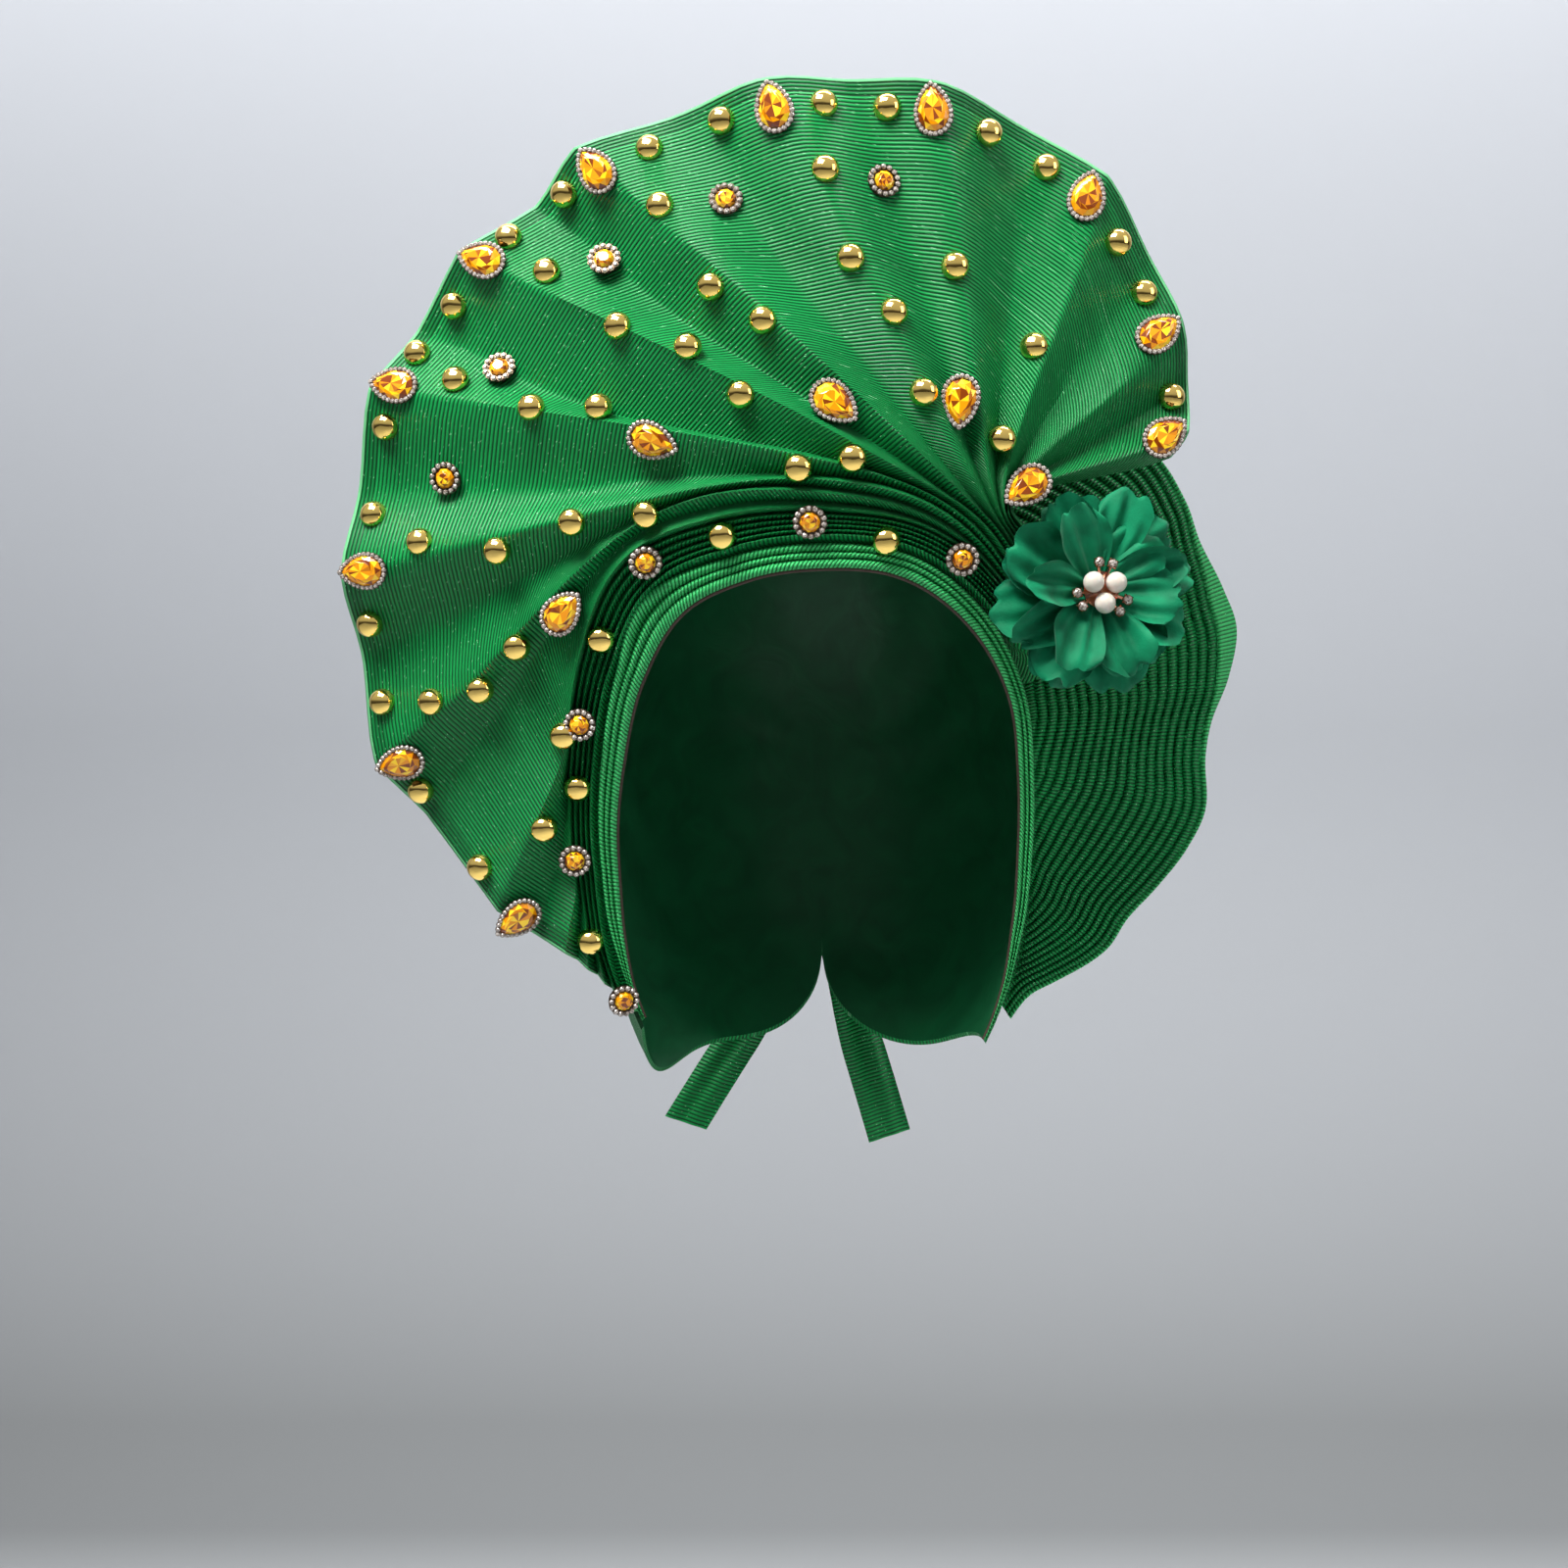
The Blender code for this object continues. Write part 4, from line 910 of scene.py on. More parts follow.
class GELE_OT_wing(bpy.types.Operator):
    """The ribbed wing behind the flower, with cords that follow its rim"""

    bl_idname = "gele.wing"
    bl_label = "Side wing"

    def execute(self, context):
        sizes = context.scene.gele_sizes
        rows, steps = 190, 162
        front, uvs = [], []
        walked, before = -0.14, None
        for i in range(rows + 1):
            bearing = -56.0 + 112.0 * i / rows
            rim = WING_REACH * smooth(WING_RIM, bearing)
            inner = band_edge(bearing) - 0.0006
            pitch = sizes.rib_pitch * (1.0 - 0.35 * soft_step((-bearing - 15.0) / 35.0))
            under = 0.0045 * (0.35 + 0.65 * soft_step((bearing - 5.0) / 20.0))
            flange = self.flange(bearing)
            # The rim's waves fade towards the band
            around = [max(-60.0, min(55.0, bearing + b)) for b in (-14, -9, -4, 4, 9, 14)]
            calm = sum(smooth(WING_RIM, b) for b in around) / len(around)
            wave = rim - WING_REACH * calm
            here = Vector(at_bearing(HEAD_CENTRE, bearing, rim))
            walked += (here - before).length if before else 0.0
            before = here
            row, row_uvs = [], []
            for k in range(steps + 1):
                radius = rim + (inner - rim) * k / steps
                x, z = at_bearing(HEAD_CENTRE, bearing, radius)
                out = (radius - inner) / (WING_REACH - FACE_RADIUS)
                inside = rim - flange - radius
                if inside > 0.0:
                    inside -= 0.6 * wave * soft_step(inside / 0.05)
                    count = math.floor(inside / pitch)
                    swell = abs(math.sin(math.pi * inside / pitch)) ** 0.55
                    rib = 2.6 * RIB_HEIGHT * (swell - 0.3)
                    rib_radius = rim - flange - (count + 0.5) * pitch
                else:
                    swell = min(1.0, -inside / 0.0014) ** 0.6
                    rib = 2.6 * RIB_HEIGHT * (swell - 0.3) + 0.35 * inside
                    rib_radius = rim
                rib *= soft_step((radius - inner) / 0.004)
                y = front_depth(x, z) + under + 0.025 * out - rib
                row.append(Vector((x, y, z)))
                row_uvs.append((rim - radius, walked * rib_radius / rim))
            front.append(row)
            uvs.append(row_uvs)
        mesh = cloth_mesh("side_wing_cloth", front, moved_back(front, sizes.cloth_wall), uvs)
        # Painted light: the flange's front faces take the paler lit copy of the cloth
        for face in mesh.polygons:
            offset = face.center - HEAD_CENTRE
            bearing = math.degrees(math.atan2(offset.z, offset.x))
            edge = WING_REACH * smooth(WING_RIM, bearing) - self.flange(bearing)
            if face.normal.y < -0.2 and math.hypot(offset.x, offset.z) > edge:
                face.material_index = 1
        wing = finish_mesh("side_wing_cloth", mesh, [gathered_cloth(), lit_cloth_copy()], 80.0)
        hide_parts("side_wing")
        return {"FINISHED"}

    def flange(self, bearing):
        """Width of the smooth flange along the rim, widest at the ear."""
        return 0.0018 + 0.0072 * math.exp(-(((bearing - 17.0) / 9.0) ** 2))


class GELE_OT_band(bpy.types.Operator):
    """The rolled band round the face, with a dark brown cord along its inner edge: the elastic there, and
    partly painted shade in the gap at the face
    """

    bl_idname = "gele.band"
    bl_label = "Face band"

    def execute(self, context):
        sizes, colours = context.scene.gele_sizes, context.scene.gele_colours
        low, high = FACE_LINE[0][0], FACE_LINE[-1][0]
        steps, per_roll = 260, 8
        # Each roll's inner and outer edge, as shares of the band's width
        rolls = ((0.0, 0.42), (0.42, 0.68), (0.68, 1.0))
        shares = [a + (b - a) * k / per_roll for a, b in rolls for k in range(per_roll)] + [1.0]
        front, back, uvs, edge = [], [], [], []
        walked, before = 0.0, None
        for i in range(steps + 1):
            bearing = low + (high - low) * i / steps
            width = BAND_WIDTH * smooth(FACE_LINE, bearing, 2)
            ends = 0.35 + 0.65 * soft_step(min(i, steps - i) / 20.0)
            x0, z0 = at_bearing(HEAD_CENTRE, bearing, face_radius(bearing))
            y0 = front_depth(x0, z0)
            here = Vector((x0, y0, z0))
            walked += (here - before).length if before else 0.0
            before = here
            drift = 0.12 * math.sin(math.radians(2.3 * bearing)) + 0.05 * math.sin(math.radians(7 * bearing))
            # At the temple the outer roll swings out and leaves a pocket
            swell = math.exp(-(((bearing - 147.0) / 11.0) ** 2))
            row, row_back, row_uvs = [], [], []
            for k, share in enumerate(shares):
                moved = share + drift * share * (1.0 - share) + 0.26 * swell * share**2
                bulge = abs(math.sin(math.pi * k / per_roll)) ** 0.6
                pocket = 0.0022 * swell * math.exp(-(((share - 0.68) / 0.09) ** 2))
                x, z = at_bearing(HEAD_CENTRE, bearing, face_radius(bearing) + width * (moved - 0.5) * ends)
                row.append(Vector((x, y0 - 0.0028 + 0.0024 * (1.0 - bulge) + pocket, z)))
                row_back.append(Vector((x, y0 + 0.0050, z)))
                row_uvs.append((share * width * 1.5, walked + 0.7 * share * width))
            x, z = at_bearing(HEAD_CENTRE, bearing, face_radius(bearing) - 0.5 * width * ends + 0.0001)
            edge.append(Vector((x, y0 - 0.0006, z)))
            front.append(row)
            back.append(row_back)
            uvs.append(row_uvs)
        # Painted light: the whole band is drawn in the paler lit copy of the cloth
        cloth = lit_cloth_copy()
        band = finish_mesh("face_band_cloth", cloth_mesh("face_band_cloth", front, back, uvs), [cloth], 75.0)
        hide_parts("face_band")
        elastic = self.edge_cord_and_shade(edge, colours.edge)
        return {"FINISHED"}

    def edge_cord_and_shade(self, line, colour):
        """A thin dark brown cord along the face side: a covered elastic, and partly painted shade in the gap
        between band and face.
        """
        curve = bpy.data.curves.new("edge_elastic_and_shade", "CURVE")
        curve.dimensions = "3D"
        curve.bevel_depth = 0.0008
        curve.bevel_resolution = 2
        curve.use_fill_caps = True
        spline = curve.splines.new("POLY")
        spline.points.add(len(line) - 1)
        for point, place in zip(spline.points, line):
            point.co = (*place, 1.0)
        mat, tree, shader = new_material("brown_elastic_and_shade", Base_Color=colour, Roughness=0.7)
        place = add_node(tree, "ShaderNodeTexCoord").outputs["Object"]
        # Covering yarns lie 0.5 mm apart
        yarn = add_node(tree, "ShaderNodeTexNoise", {"Scale": 1 / 0.0005}, {"Vector": place}).outputs[0]
        bump = add_node(tree, "ShaderNodeBump", {"Distance": 0.0002}, {"Height": yarn}).outputs[0]
        tree.links.new(bump, shader.inputs["Normal"])
        curve.materials.append(mat)
        elastic = bpy.data.objects.new("edge_elastic_and_shade", curve)
        bpy.context.scene.collection.objects.link(elastic)
        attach(elastic, "root")
        return elastic


class GELE_OT_cap(bpy.types.Operator):
    """The close cap over crown and nape"""

    bl_idname = "gele.cap"
    bl_label = "Crown cap"

    def execute(self, context):
        low, high = FACE_LINE[0][0], FACE_LINE[-1][0]
        start_gap, end_gap = low + 90.0, 270.0 - high
        rows, steps = 60, 120
        front, back, uvs = [], [], []
        for i in range(rows + 1):
            share = i / rows
            row, row_back, row_uvs = [], [], []
            for k in range(steps + 1):
                u = k / steps
                bearing = low + (high - low) * u
                x0, z0 = at_bearing(HEAD_CENTRE, bearing, face_radius(bearing))
                y0 = front_depth(x0, z0) + 0.0046
                y = y0 + (HEAD_BACK - y0) * math.sin(0.5 * math.pi * share)
                closing = 1.0 - soft_step(y / NAPE_SLIT_TOP) ** 1.5
                a = -90.0 + start_gap * closing + (360.0 - (start_gap + end_gap) * closing) * u
                inside = soft_step((y - y0) / (0.62 * BROW_DEPTH))
                radius = face_radius(bearing) * (1.0 - inside) + head_radius(a, y) * inside
                gather = 0.0007 * math.sin(u * 60.0 + 2.0 * math.sin(9.0 * share)) * soft_step(share * 3.0)
                gather += 0.0012 * noise.noise(Vector((u * 9.0, share * 4.0, 0.0)))
                gather *= 1.0 - share**8
                # The cloth hangs down in a corner behind the left cheek
                corner = u**12 * math.exp(-(((share - 0.17) / 0.12) ** 2))
                radius += 0.019 * corner
                a += 5.0 * corner
                x, z = at_bearing(HEAD_CENTRE, a, radius + gather)
                row.append(Vector((x, y, z)))
                x, z = at_bearing(HEAD_CENTRE, a, radius + gather + 0.0016 * (1.0 - share**8))
                row_back.append(Vector((x, y + 0.0016 * share**4, z)))
                row_uvs.append((u * 0.42, share * 0.2))
            front.append(row)
            back.append(row_back)
            uvs.append(row_uvs)
        # The lining is dark green, partly as painted shade for the hollow inside the cap
        lining = shared("satin_lining_and_shade", satin_lining, context.scene.gele_colours.lining)
        mesh = cloth_mesh("crown_cap_cloth", front, back, uvs, lined=True)
        cap = finish_mesh("crown_cap_cloth", mesh, [gele_cloth(), lining])
        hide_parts("crown_cap")
        return {"FINISHED"}


class GELE_OT_nape_tie(bpy.types.Operator):
    """The knot at the nape and its two cut ends"""

    bl_idname = "gele.nape_tie"
    bl_label = "Nape tie"

    def execute(self, context):
        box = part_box("nape_tie")
        low, high = Vector(box[0]), Vector(box[1])
        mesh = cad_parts["nape_tie"].data
        top = [v.co for v in mesh.vertices if v.co.z > high.z - 0.016]
        middle = sum(top, Vector()) / len(top)
        knot = Vector((0.0, middle.y, high.z - 0.010))
        cloth = gele_cloth()
        pieces = [self.knot(knot, cloth)]
        for name, side, spread in (("left", -1.0, 0.60), ("right", 1.0, 0.30)):
            pieces.append(self.tail(name, knot, side, spread, cloth))
        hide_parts("nape_tie")
        return {"FINISHED"}

    def knot(self, centre, cloth):
        """A half-tight knot: a rolled loop of cloth with folds that turn round it."""
        rows, columns = 28, 48
        points, uvs = [], []
        for i in range(rows + 1):
            rise = math.pi * i / rows
            row, row_uvs = [], []
            for k in range(columns + 1):
                turn = 2.0 * math.pi * k / columns
                fold = 1.0 + 0.15 * math.sin(3.0 * turn + 4.0 * rise) * math.sin(rise)
                ball = Vector(
                    (
                        1.3 * math.cos(turn) * math.sin(rise),
                        0.7 * math.sin(turn) * math.sin(rise),
                        math.cos(rise) * (1.0 - 0.12 * math.cos(turn)),
                    )
                )
                row.append(centre + ball * 0.0098 * fold)
                row_uvs.append((0.06 * k / columns, 0.03 * i / rows))
            points.append(row)
            uvs.append(row_uvs)
        inner = [[centre + (p - centre) * 0.8 for p in row] for row in points]
        mesh = cloth_mesh("nape_knot", points, inner, uvs)
        return finish_mesh("nape_knot", mesh, [cloth])

    def tail(self, name, knot, side, spread, cloth):
        """A hanging end of the tie, gathered at the knot and cut square."""
        rows, columns, length = 40, 16, 0.088
        front, back, uvs = [], [], []
        across = Vector((1.0, -0.15 * side, 0.35 * side)).normalized()
        for i in range(rows + 1):
            t = i / rows
            middle = knot + Vector(
                (
                    side * length * spread * t**0.9,
                    -0.45 * length * spread * t**2,
                    -length * (1.0 - 0.25 * spread) * t,
                )
            )
            width = 0.017 * (0.45 + 0.55 * soft_step(t * 1.6))
            row, row_back, row_uvs = [], [], []
            for k in range(columns + 1):
                s = k / columns - 0.5
                wave = 0.0016 * math.sin(13.0 * s + 3.0 * t) * (1.25 - t)
                row.append(middle + across * (s * width) + Vector((0.0, wave - 0.0006, 0.0)))
                row_back.append(middle + across * (s * width) + Vector((0.0, wave + 0.0008, 0.0)))
                row_uvs.append((s * width, t * length))
            front.append(row)
            back.append(row_back)
            uvs.append(row_uvs)
        tail = finish_mesh(f"tie_end_{name}", cloth_mesh(f"tie_end_{name}", front, back, uvs), [cloth])
        return tail


class GELE_OT_half_beads(bpy.types.Operator):
    """The gold half beads, each set square on the cloth under it"""

    bl_idname = "gele.half_beads"
    bl_label = "Gold half beads"

    def execute(self, context):
        sizes, colours = context.scene.gele_sizes, context.scene.gele_colours
        surface = surface_of(piece_named("fan_cloth"))
        bm = bmesh.new()
        sides, rings = 24, 6
        for bearing, reach in HALF_BEADS:
            x, z = at_bearing(FAN_CENTRE, bearing, reach * FAN_RADIUS)
            place = self.seat(surface, x, z, 0.6 * sizes.bead_radius)
            place = lifted(surface, place, round_outline(0.9 * sizes.bead_radius, 0.0, 12), 0.0008, 0.0040)
            # A foot on the cloth, then the dome
            outlines = [round_outline(share * sizes.bead_radius, -0.0002, sides) for share in (0.45, 0.88)]
            for i in range(rings):
                rise = 0.5 * math.pi * i / rings
                height = 0.0007 + sizes.bead_height * math.sin(rise)
                outlines.append(round_outline(sizes.bead_radius * math.cos(rise), height, sides))
            add_rings(bm, outlines, 0, place, surface=surface)
        mesh = bpy.data.meshes.new("gold_half_beads")
        bm.to_mesh(mesh)
        bm.free()
        gold = shared("gold_plate", plated_metal, colours.gold, 0.05)
        beads = finish_mesh("gold_half_beads", mesh, [gold])
        return {"FINISHED"}

    def seat(self, surface, x, z, spread):
        """Where a bead's foot lies on the cloth, and the way it faces."""
        hits = []
        for k in range(9):
            r = 0.0 if k == 8 else spread
            px, pz = x + r * math.cos(k * math.pi / 4), z + r * math.sin(k * math.pi / 4)
            found = surface.ray_cast(Vector((px, -0.4, pz)), Vector((0, 1, 0)))[0]
            if found:
                hits.append(found)
        if not hits:
            raise RuntimeError(f"no cloth under the bead at {x:.4f}, {z:.4f}")
        middle = sum(hits, Vector()) / len(hits)
        slope_x = sum((h.x - middle.x) * (h.y - middle.y) for h in hits)
        slope_z = sum((h.z - middle.z) * (h.y - middle.y) for h in hits)
        size_x = sum((h.x - middle.x) ** 2 for h in hits) + 1e-12
        size_z = sum((h.z - middle.z) ** 2 for h in hits) + 1e-12
        lean_x = max(-0.35, min(0.35, slope_x / size_x))
        lean_z = max(-0.35, min(0.35, slope_z / size_z))
        facing = Vector((lean_x, -1.0, lean_z)).normalized()
        return placed(Vector((x, middle.y, z)), facing, Vector((1, 0, 0)))


def drop_outline(length, width, height, sides, turned=0.0):
    """A teardrop with its tip at +X."""
    points = []
    for k in range(sides):
        t = 2.0 * math.pi * (k + turned) / sides
        waist = abs(math.sin(0.5 * t)) ** 0.55
        points.append(Vector((0.5 * length * math.cos(t), 0.5 * width * math.sin(t) * waist, height)))
    return points


def round_outline(radius, height, sides, turned=0.0):
    turn = 2.0 * math.pi / sides
    return [
        Vector((radius * math.cos((k + turned) * turn), radius * math.sin((k + turned) * turn), height))
        for k in range(sides)
    ]


def spaced_round(outline, count):
    """Points at equal steps round a closed outline."""
    points, length = evenly(outline + [outline[0]], count)
    return points[:-1]


def add_rings(bm, rings, slot, place=None, twist=False, surface=None):
    """Faces through rings of points, closed at both ends; with a surface, the first two rings lie on it."""
    rings = [[place @ p if place else p for p in ring] for ring in rings]
    faces = []
    if surface:
        rings[:2] = [[on_cloth(surface, p) for p in ring] for ring in rings[:2]]
    loops = [[bm.verts.new(p) for p in ring] for ring in rings]
    for a, b in zip(loops, loops[1:]):
        for k in range(len(a)):
            n = (k + 1) % len(a)
            if twist:
                faces.append(bm.faces.new((a[k], a[n], b[k])))
                faces.append(bm.faces.new((a[n], b[n], b[k])))
            else:
                faces.append(bm.faces.new((a[k], a[n], b[n], b[k])))
    if surface:
        under = bm.verts.new(on_cloth(surface, sum(rings[0], Vector()) / len(rings[0])))
        for k in range(len(loops[0])):
            faces.append(bm.faces.new((loops[0][(k + 1) % len(loops[0])], loops[0][k], under)))
    else:
        faces.append(bm.faces.new(loops[0][::-1]))
    top = loops[-1]
    middle = bm.verts.new(sum((v.co for v in top), Vector()) / len(top))
    for k in range(len(top)):
        faces.append(bm.faces.new((top[k], top[(k + 1) % len(top)], middle)))
    for face in faces:
        face.material_index = slot
    return faces


def trim_mesh(name, bm, seed):
    """Mesh of a stone, with a random value for each facet that picks its painted reflection tone."""
    mesh = bpy.data.meshes.new(name)
    bm.to_mesh(mesh)
    bm.free()
    chance = random.Random(seed)
    facet = mesh.attributes.new("facet", "FLOAT", "FACE")
    facet.data.foreach_set("value", [chance.random() for _ in mesh.polygons])
    return mesh


def clear_stone(colours):
    """The glass of the small clear stones."""
    return shared("clear_cut_glass", cut_glass, colours.clear_dark_reflection, colours.clear, colours.clear_glint, 0.2)


def add_clear_stone(bm, place, radius):
    """A tiny clear cut stone in its cup."""
    cup = [round_outline(1.08 * radius, height * radius, 8) for height in (-0.3, 0.25)]
    add_rings(bm, cup, 2, place)
    rings = [
        round_outline(0.95 * radius, 0.2 * radius, 8),
        round_outline(0.9 * radius, 0.45 * radius, 8),
        round_outline(0.5 * radius, 0.85 * radius, 8, 0.5),
    ]
    add_rings(bm, rings, 1, place, True)


# Setting plate of a stone: share of its outline; height
PLATE = ((0.40, 0.0), (0.84, 0.0), (0.93, 0.0), (0.97, 0.0009), (0.86, 0.0012))


class GELE_OT_stones(bpy.types.Operator):
    """The amber stones, each in a ring of small clear stones"""

    bl_idname = "gele.stones"
    bl_label = "Amber stones"

    def execute(self, context):
        colours = context.scene.gele_colours
        mats = [
            shared("amber_cut_glass", cut_glass, colours.amber_dark_reflection, colours.amber, colours.amber_glint, 0.0),
            clear_stone(colours),
            # Antique silver, darkened further as painted shade between the small stones
            shared("antique_silver_and_shade_plate", plated_metal, colours.silver, 0.3),
        ]
        stones = [n for n in sorted(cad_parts) if n.startswith(("teardrop_", "round_stone_"))]
        if not stones:
            raise RuntimeError("the frame holds no stones")
        surface = surface_of(piece_named("fan_cloth"))
        for seed, name in enumerate(stones):
            bm = bmesh.new()
            if name.startswith("teardrop_"):
                self.teardrop(bm, node_place(name), surface)
            else:
                self.round(bm, node_place(name), surface)
            mesh = trim_mesh(name + "_dressed", bm, seed)
            piece = finish_mesh(name + "_dressed", mesh, mats, smooth_faces=False)
            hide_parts(name)
        return {"FINISHED"}

    def teardrop(self, bm, place, surface):
        """A teardrop stone with a wide table, in its setting and ring."""
        length, width = 0.0186, 0.0154
        place = lifted(surface, place, drop_outline(0.85 * length, 0.85 * width, 0.0, 12), 0.0008, 0.0015)
        plate = [drop_outline(s * length, s * width, h, 28) for s, h in PLATE]
        add_rings(bm, plate, 2, place, surface=surface)
        # Share of the outline, height and turn: girdle, crown and table
        cut = ((0.80, 0.0010, 0.0), (0.80, 0.0019, 0.0), (0.62, 0.0031, 0.5), (0.46, 0.0035, 0.0))
        rings = [drop_outline(s * length, s * width, h, 12, turned) for s, h, turned in cut]
        add_rings(bm, rings, 0, place, True)
        for point in spaced_round(drop_outline(length - 0.0019, width - 0.0019, 0.0016, 120), 26):
            add_clear_stone(bm, place @ Matrix.Translation(point), 0.00093)

    def round(self, bm, place, surface):
        """A round stone in its setting and ring."""
        radius = 0.0057
        place = lifted(surface, place, round_outline(0.85 * radius, 0.0, 12), 0.0008, 0.0015)
        plate = [round_outline(s * radius, h, 24) for s, h in PLATE]
        add_rings(bm, plate, 2, place, surface=surface)
        cut = ((0.60, 0.0010, 0.0), (0.60, 0.0018, 0.0), (0.46, 0.0028, 0.5), (0.32, 0.0031, 0.0))
        rings = [round_outline(s * radius, h, 10, turned) for s, h, turned in cut]
        add_rings(bm, rings, 0, place, True)
        for point in spaced_round(round_outline(radius - 0.0010, 0.0016, 120), 14):
            add_clear_stone(bm, place @ Matrix.Translation(point), 0.00100)


class GELE_OT_flower(bpy.types.Operator):
    """The cloth flower: three layers of creased petals"""

    bl_idname = "gele.flower"
    bl_label = "Cloth flower"

    def execute(self, context):
        sizes, colours = context.scene.gele_sizes, context.scene.gele_colours
        cloth = shared("teal_green_chiffon", chiffon, colours.chiffon)
        place = self.flower_place()
        # Name; node it stands for; petals; radius share; lift; cup; turn in degrees
        layers = (
            ("petals_outer", "flower_petals_outer", 9, 1.00, 0.0010, 0.0045, 8.0),
            ("petals_middle", None, 8, 0.97, 0.0030, 0.0075, 30.0),
            ("petals_inner", "flower_petals_inner", 6, 0.86, 0.0050, 0.0105, 50.0),
        )
        for seed, (name, node, petals, share, lift, cup, turn) in enumerate(layers):
            mesh = self.petals(name, place, petals, share * sizes.flower_radius, lift, cup, turn, seed)
            piece = finish_mesh(name, mesh, [cloth], 80.0)
            if node:
                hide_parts(node)
        return {"FINISHED"}

    def flower_place(self):
        """The flower's frame, from its own node: Z out of its middle."""
        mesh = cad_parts["flower_petals_outer"].data
        points = np.array([v.co[:] for v in mesh.vertices])
        middle = points.mean(axis=0)
        spread, axes = np.linalg.eigh(np.cov((points - middle).T))
        facing = Vector(axes[:, 0])
        if facing.y > 0.0:
            facing.negate()
        back = min((Vector(p) - Vector(middle)).dot(facing) for p in points)
        return placed(Vector(middle) + facing * back, facing, Vector((1, 0, 0)))

    def petals(self, name, place, count, radius, lift, cup, turn, seed):
        """One layer: each petal overlaps the next, is gathered at the middle and folds at its end."""
        chance = random.Random(40 + seed)
        width = bpy.context.scene.gele_sizes.petal_width
        rows, columns = 18, 22
        bm = bmesh.new()
        for p in range(count):
            middle = math.radians(turn + 360.0 * p / count + chance.uniform(-9, 9))
            tall = radius * chance.uniform(0.90, 1.06)
            wide = 0.5 * width * chance.uniform(0.9, 1.15)
            phase = chance.uniform(0, 6.28)
            twist = chance.choice((-1.0, 1.0)) * chance.uniform(0.0015, 0.0042)
            fold = chance.choice((-0.0012, 0.0014, 0.0032, 0.0046))
            notch = chance.uniform(-0.5, 0.5)
            raised = cup * chance.uniform(0.7, 1.25)
            bent = chance.uniform(-0.16, 0.16)
            grid = []
            for i in range(rows + 1):
                share = i / rows
                line = []
                for k in range(columns + 1):
                    across = 2.0 * k / columns - 1.0
                    end = 1.0 - 0.25 * abs(across) ** 2.8 - 0.07 * math.exp(-(((across - notch) / 0.16) ** 2))
                    end += 0.012 * math.sin(9.0 * across + phase)
                    out = tall * (0.06 + 0.94 * share * (1.0 - (1.0 - end) * share**1.5))
                    side = wide * across * (0.16 + 0.84 * math.sin(0.5 * math.pi * min(1.0, share / 0.72)))
                    side *= 1.0 - 0.35 * fold / 0.005 * max(0.0, fold / 0.005) * share
                    crease = 0.0011 * math.sin(2.6 * math.pi * across + phase)
                    crease *= math.sin(math.pi * share) ** 0.7
                    frill = 0.0010 * share**3 * math.sin(5.0 * across + 2.0 * phase)
                    curl = 0.0030 * (max(0.0, share - 0.7) / 0.3) ** 2
                    curl *= 0.5 + 0.5 * math.sin(phase + 2.0 * across)
                    z = lift + raised * share**0.9 + twist * across * share
                    z += fold * abs(across) ** 1.4 * share**0.8 + crease + frill - curl
                    a = middle + bent * share
                    x = out * math.cos(a) - side * math.sin(a)
                    y = out * math.sin(a) + side * math.cos(a)
                    line.append(Vector((x, y, z)))
                grid.append(line)
            faces = []
            for lifted in (0.00025, 0.0):
                verts = [[bm.verts.new(place @ (q + Vector((0, 0, lifted)))) for q in line] for line in grid]
                faces.append(verts)
            top, under = faces
            for i in range(rows):
                for k in range(columns):
                    bm.faces.new((top[i][k], top[i + 1][k], top[i + 1][k + 1], top[i][k + 1]))
                    bm.faces.new((under[i][k + 1], under[i + 1][k + 1], under[i + 1][k], under[i][k]))
            for i in range(rows):
                bm.faces.new((top[i + 1][0], top[i][0], under[i][0], under[i + 1][0]))
                bm.faces.new((top[i][-1], top[i + 1][-1], under[i + 1][-1], under[i][-1]))
            for k in range(columns):
                bm.faces.new((top[0][k], top[0][k + 1], under[0][k + 1], under[0][k]))
                bm.faces.new((top[-1][k + 1], top[-1][k], under[-1][k], under[-1][k + 1]))
        bmesh.ops.recalc_face_normals(bm, faces=bm.faces)
        mesh = bpy.data.meshes.new(name)
        bm.to_mesh(mesh)
        bm.free()
        return mesh


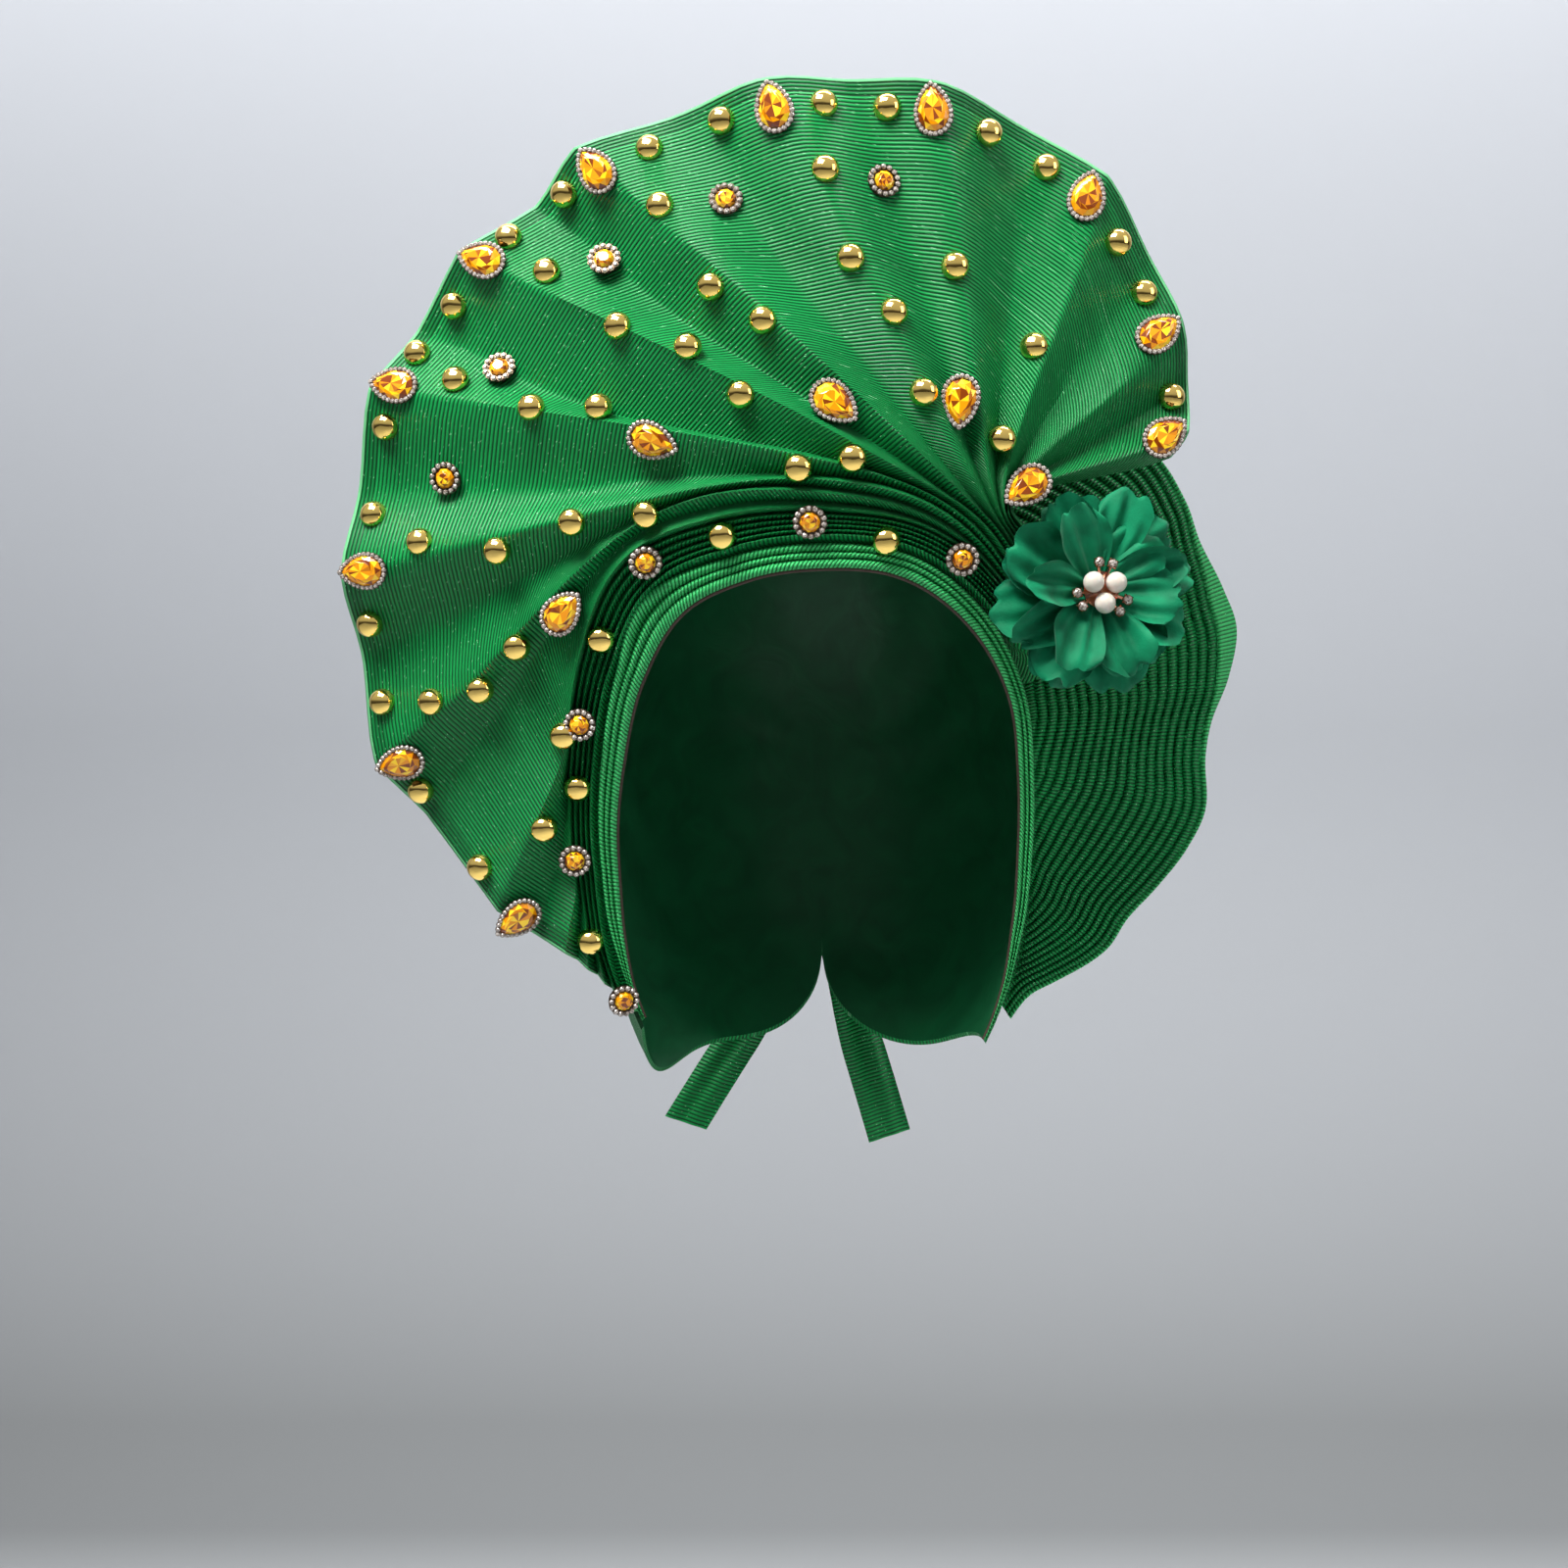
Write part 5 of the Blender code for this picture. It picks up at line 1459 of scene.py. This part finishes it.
class GELE_OT_brooch(bpy.types.Operator):
    """The brooch at the flower's middle: three pearls and three pairs of clear stones on gold arms"""

    bl_idname = "gele.brooch"
    bl_label = "Pearl brooch"

    def execute(self, context):
        sizes, colours = context.scene.gele_sizes, context.scene.gele_colours
        boxes = [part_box(f"pearl_{k}") for k in (1, 2, 3)]
        pearls = [Vector(low) * 0.5 + Vector(high) * 0.5 for low, high in boxes]
        middle = sum(pearls, Vector()) / 3.0
        facing = (pearls[1] - pearls[0]).cross(pearls[2] - pearls[0]).normalized()
        if facing.y > 0.0:
            facing.negate()
        place = placed(middle, facing, Vector((1, 0, 0)))
        gold = shared("rose_gold_plate", plated_metal, colours.rose_gold, 0.12)
        clear = clear_stone(colours)
        lacquer = shared("pearl_lacquer", pearl_coat, colours.pearl)
        bm = bmesh.new()
        base = -sizes.pearl_radius
        add_rings(bm, [round_outline(0.0060, base - 0.0012, 32), round_outline(0.0062, base, 32)], 2, place)
        for pair in (84, 203, 324):
            for side in (-15, 15):
                turn = place @ Matrix.Rotation(math.radians(pair + side), 4, "Z")
                self.arm(bm, turn, base)
                seat = turn @ Matrix.Translation((0.0092, 0.0, base + 0.0016))
                add_clear_stone(bm, seat, 0.0017)
                self.claws(bm, seat, 0.0018)
        mesh = trim_mesh("brooch", bm, 90)
        brooch = finish_mesh("brooch", mesh, [gold, clear, gold], smooth_faces=False)
        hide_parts("flower_brooch")
        for k, centre in enumerate(pearls):
            bm = bmesh.new()
            bmesh.ops.create_uvsphere(bm, u_segments=36, v_segments=18, radius=sizes.pearl_radius)
            bmesh.ops.translate(bm, vec=centre, verts=bm.verts)
            mesh = bpy.data.meshes.new(f"pearl_{k + 1}_dressed")
            bm.to_mesh(mesh)
            bm.free()
            pearl = finish_mesh(f"pearl_{k + 1}_dressed", mesh, [lacquer])
            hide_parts(f"pearl_{k + 1}")
        return {"FINISHED"}

    def arm(self, bm, place, base):
        """A short round arm from the plate to a stone."""
        rings = []
        for i in range(5):
            middle = Vector((0.0040 + 0.0052 * i / 4, 0.0, base - 0.0003 + 0.0010 * i / 4))
            rings.append([middle + Vector((0.0, p.x, p.y)) for p in round_outline(0.0006, 0.0, 8)])
        add_rings(bm, rings, 2, place)

    def claws(self, bm, seat, radius):
        """Four claws that hold a clear stone."""
        # Distance from the stone's middle; height; radius
        claw = ((radius, -0.0006, 0.0003), (radius + 0.0001, 0.0004, 0.00032), (0.8 * radius, 0.0012, 0.0002))
        for k in range(4):
            turn = seat @ Matrix.Rotation(math.radians(45 + 90 * k), 4, "Z")
            rings = []
            for x, z, thick in claw:
                rings.append([p + Vector((x, 0.0, 0.0)) for p in round_outline(thick, z, 6)])
            add_rings(bm, rings, 2, turn)


class GELE_OT_stage(bpy.types.Operator):
    """The pale sweep, the soft lights and the camera"""

    bl_idname = "gele.stage"
    bl_label = "Stage"

    def execute(self, context):
        scene = context.scene
        self.sweep(scene)
        # Name; place; aim; width; height; power in watts; spread in degrees
        lights = (
            ("key_softbox", (-0.47, -0.66, 1.04), (0.0, -0.03, -0.05), 0.9, 0.6, 8.4, 70.0),
            ("fill_softbox", (1.05, -0.45, 0.35), (0.1, 0.0, -0.08), 0.5, 0.7, 2.9, 180.0),
            ("wall_softbox", (0.0, 0.25, 1.9), (0.0, 1.1, 0.65), 2.4, 0.5, 62.0, 180.0),
        )
        for name, place, aim, width, height, power, spread in lights:
            lamp = bpy.data.lights.new(name, "AREA")
            lamp.shape = "RECTANGLE"
            lamp.size = width
            lamp.size_y = height
            lamp.energy = power
            lamp.spread = math.radians(spread)
            item = bpy.data.objects.new(name, lamp)
            item.location = place
            item.rotation_euler = (Vector(aim) - Vector(place)).to_track_quat("-Z", "Y").to_euler()
            scene.collection.objects.link(item)
        self.room(scene)
        camera = bpy.data.cameras.new("camera")
        camera.lens = CAMERA_LENS
        camera.sensor_width = SENSOR_WIDTH
        item = bpy.data.objects.new("camera", camera)
        item.location = CAMERA_PLACE
        item.rotation_euler = (math.radians(90.0), 0.0, 0.0)
        scene.collection.objects.link(item)
        scene.camera = item
        scene.view_settings.view_transform = "Standard"
        return {"FINISHED"}

    def sweep(self, scene):
        """A floor that curves up into a wall behind."""
        profile = [(-4.0, SWEEP_FLOOR), (-1.0, SWEEP_FLOOR)]
        middle_y, middle_z = SWEEP_WALL - SWEEP_BEND, SWEEP_FLOOR + SWEEP_BEND
        for i in range(17):
            turn = 0.5 * math.pi * i / 16
            profile.append((middle_y + SWEEP_BEND * math.sin(turn), middle_z - SWEEP_BEND * math.cos(turn)))
        profile.append((SWEEP_WALL, SWEEP_TOP))
        bm = bmesh.new()
        sides = (-SWEEP_HALF_WIDTH, SWEEP_HALF_WIDTH)
        edges = [[bm.verts.new((x, y, z)) for y, z in profile] for x in sides]
        for k in range(len(profile) - 1):
            bm.faces.new((edges[0][k], edges[1][k], edges[1][k + 1], edges[0][k + 1]))
        mesh = bpy.data.meshes.new("sweep")
        bm.to_mesh(mesh)
        bm.free()
        colours = scene.gele_colours
        mesh.materials.append(painted_board("painted_board", colours.floor, colours.bend, colours.sweep))
        mesh.polygons.foreach_set("use_smooth", [True] * len(mesh.polygons))
        item = bpy.data.objects.new("sweep", mesh)
        scene.collection.objects.link(item)

    def room(self, scene):
        """A dim room round the stage, lighter overhead."""
        world = bpy.data.worlds.new("room")
        world.use_nodes = True
        tree = world.node_tree
        ground = tree.nodes["Background"]
        place = add_node(tree, "ShaderNodeTexCoord").outputs["Generated"]
        up = add_node(tree, "ShaderNodeSeparateXYZ", links={"Vector": place}).outputs["Z"]
        height = add_node(
            tree, "ShaderNodeMapRange", {"From Min": -1.0, "From Max": 1.0}, {"Value": up}
        ).outputs[0]
        # Height in the room, from straight down at 0 to overhead at 1, and the light from there
        stops = ((0.0, "#5f5c58"), (0.47, "#4c4a48"), (0.54, "#5c5c5e"), (0.63, "#d4d8de"), (1.0, "#ffffff"))
        tint = ramp_of(tree, height, [(at, linear(colour)) for at, colour in stops])
        tree.links.new(tint, ground.inputs["Color"])
        ground.inputs["Strength"].default_value = ROOM_LIGHT
        scene.world = world


STEPS = (
    GELE_OT_stage,
    GELE_OT_cap,
    GELE_OT_band,
    GELE_OT_fan,
    GELE_OT_wing,
    GELE_OT_nape_tie,
    GELE_OT_half_beads,
    GELE_OT_stones,
    GELE_OT_flower,
    GELE_OT_brooch,
)


class GELE_PT_pieces(bpy.types.Panel):
    """Lists the pieces of the gele with their sizes and colours"""

    bl_idname = "GELE_PT_pieces"
    bl_label = "Tied gele"
    bl_space_type = "VIEW_3D"
    bl_region_type = "UI"
    bl_category = "Gele"

    def draw(self, context):
        for step in STEPS:
            self.layout.operator(step.bl_idname)
        for group in (context.scene.gele_sizes, context.scene.gele_colours):
            box = self.layout.box()
            for name in group.bl_rna.properties.keys():
                if name not in ("rna_type", "name"):
                    box.prop(group, name)


CLASSES = (GeleSizes, GeleColours, GELE_PT_pieces) + STEPS


def register():
    for item in CLASSES:
        bpy.utils.register_class(item)
    bpy.types.Scene.gele_sizes = PointerProperty(type=GeleSizes)
    bpy.types.Scene.gele_colours = PointerProperty(type=GeleColours)


def unregister():
    del bpy.types.Scene.gele_colours
    del bpy.types.Scene.gele_sizes
    for item in reversed(CLASSES):
        bpy.utils.unregister_class(item)


def main():
    register()
    for step in STEPS:
        group, name = step.bl_idname.split(".")
        getattr(getattr(bpy.ops, group), name)()


if __name__ == "__main__":
    main()
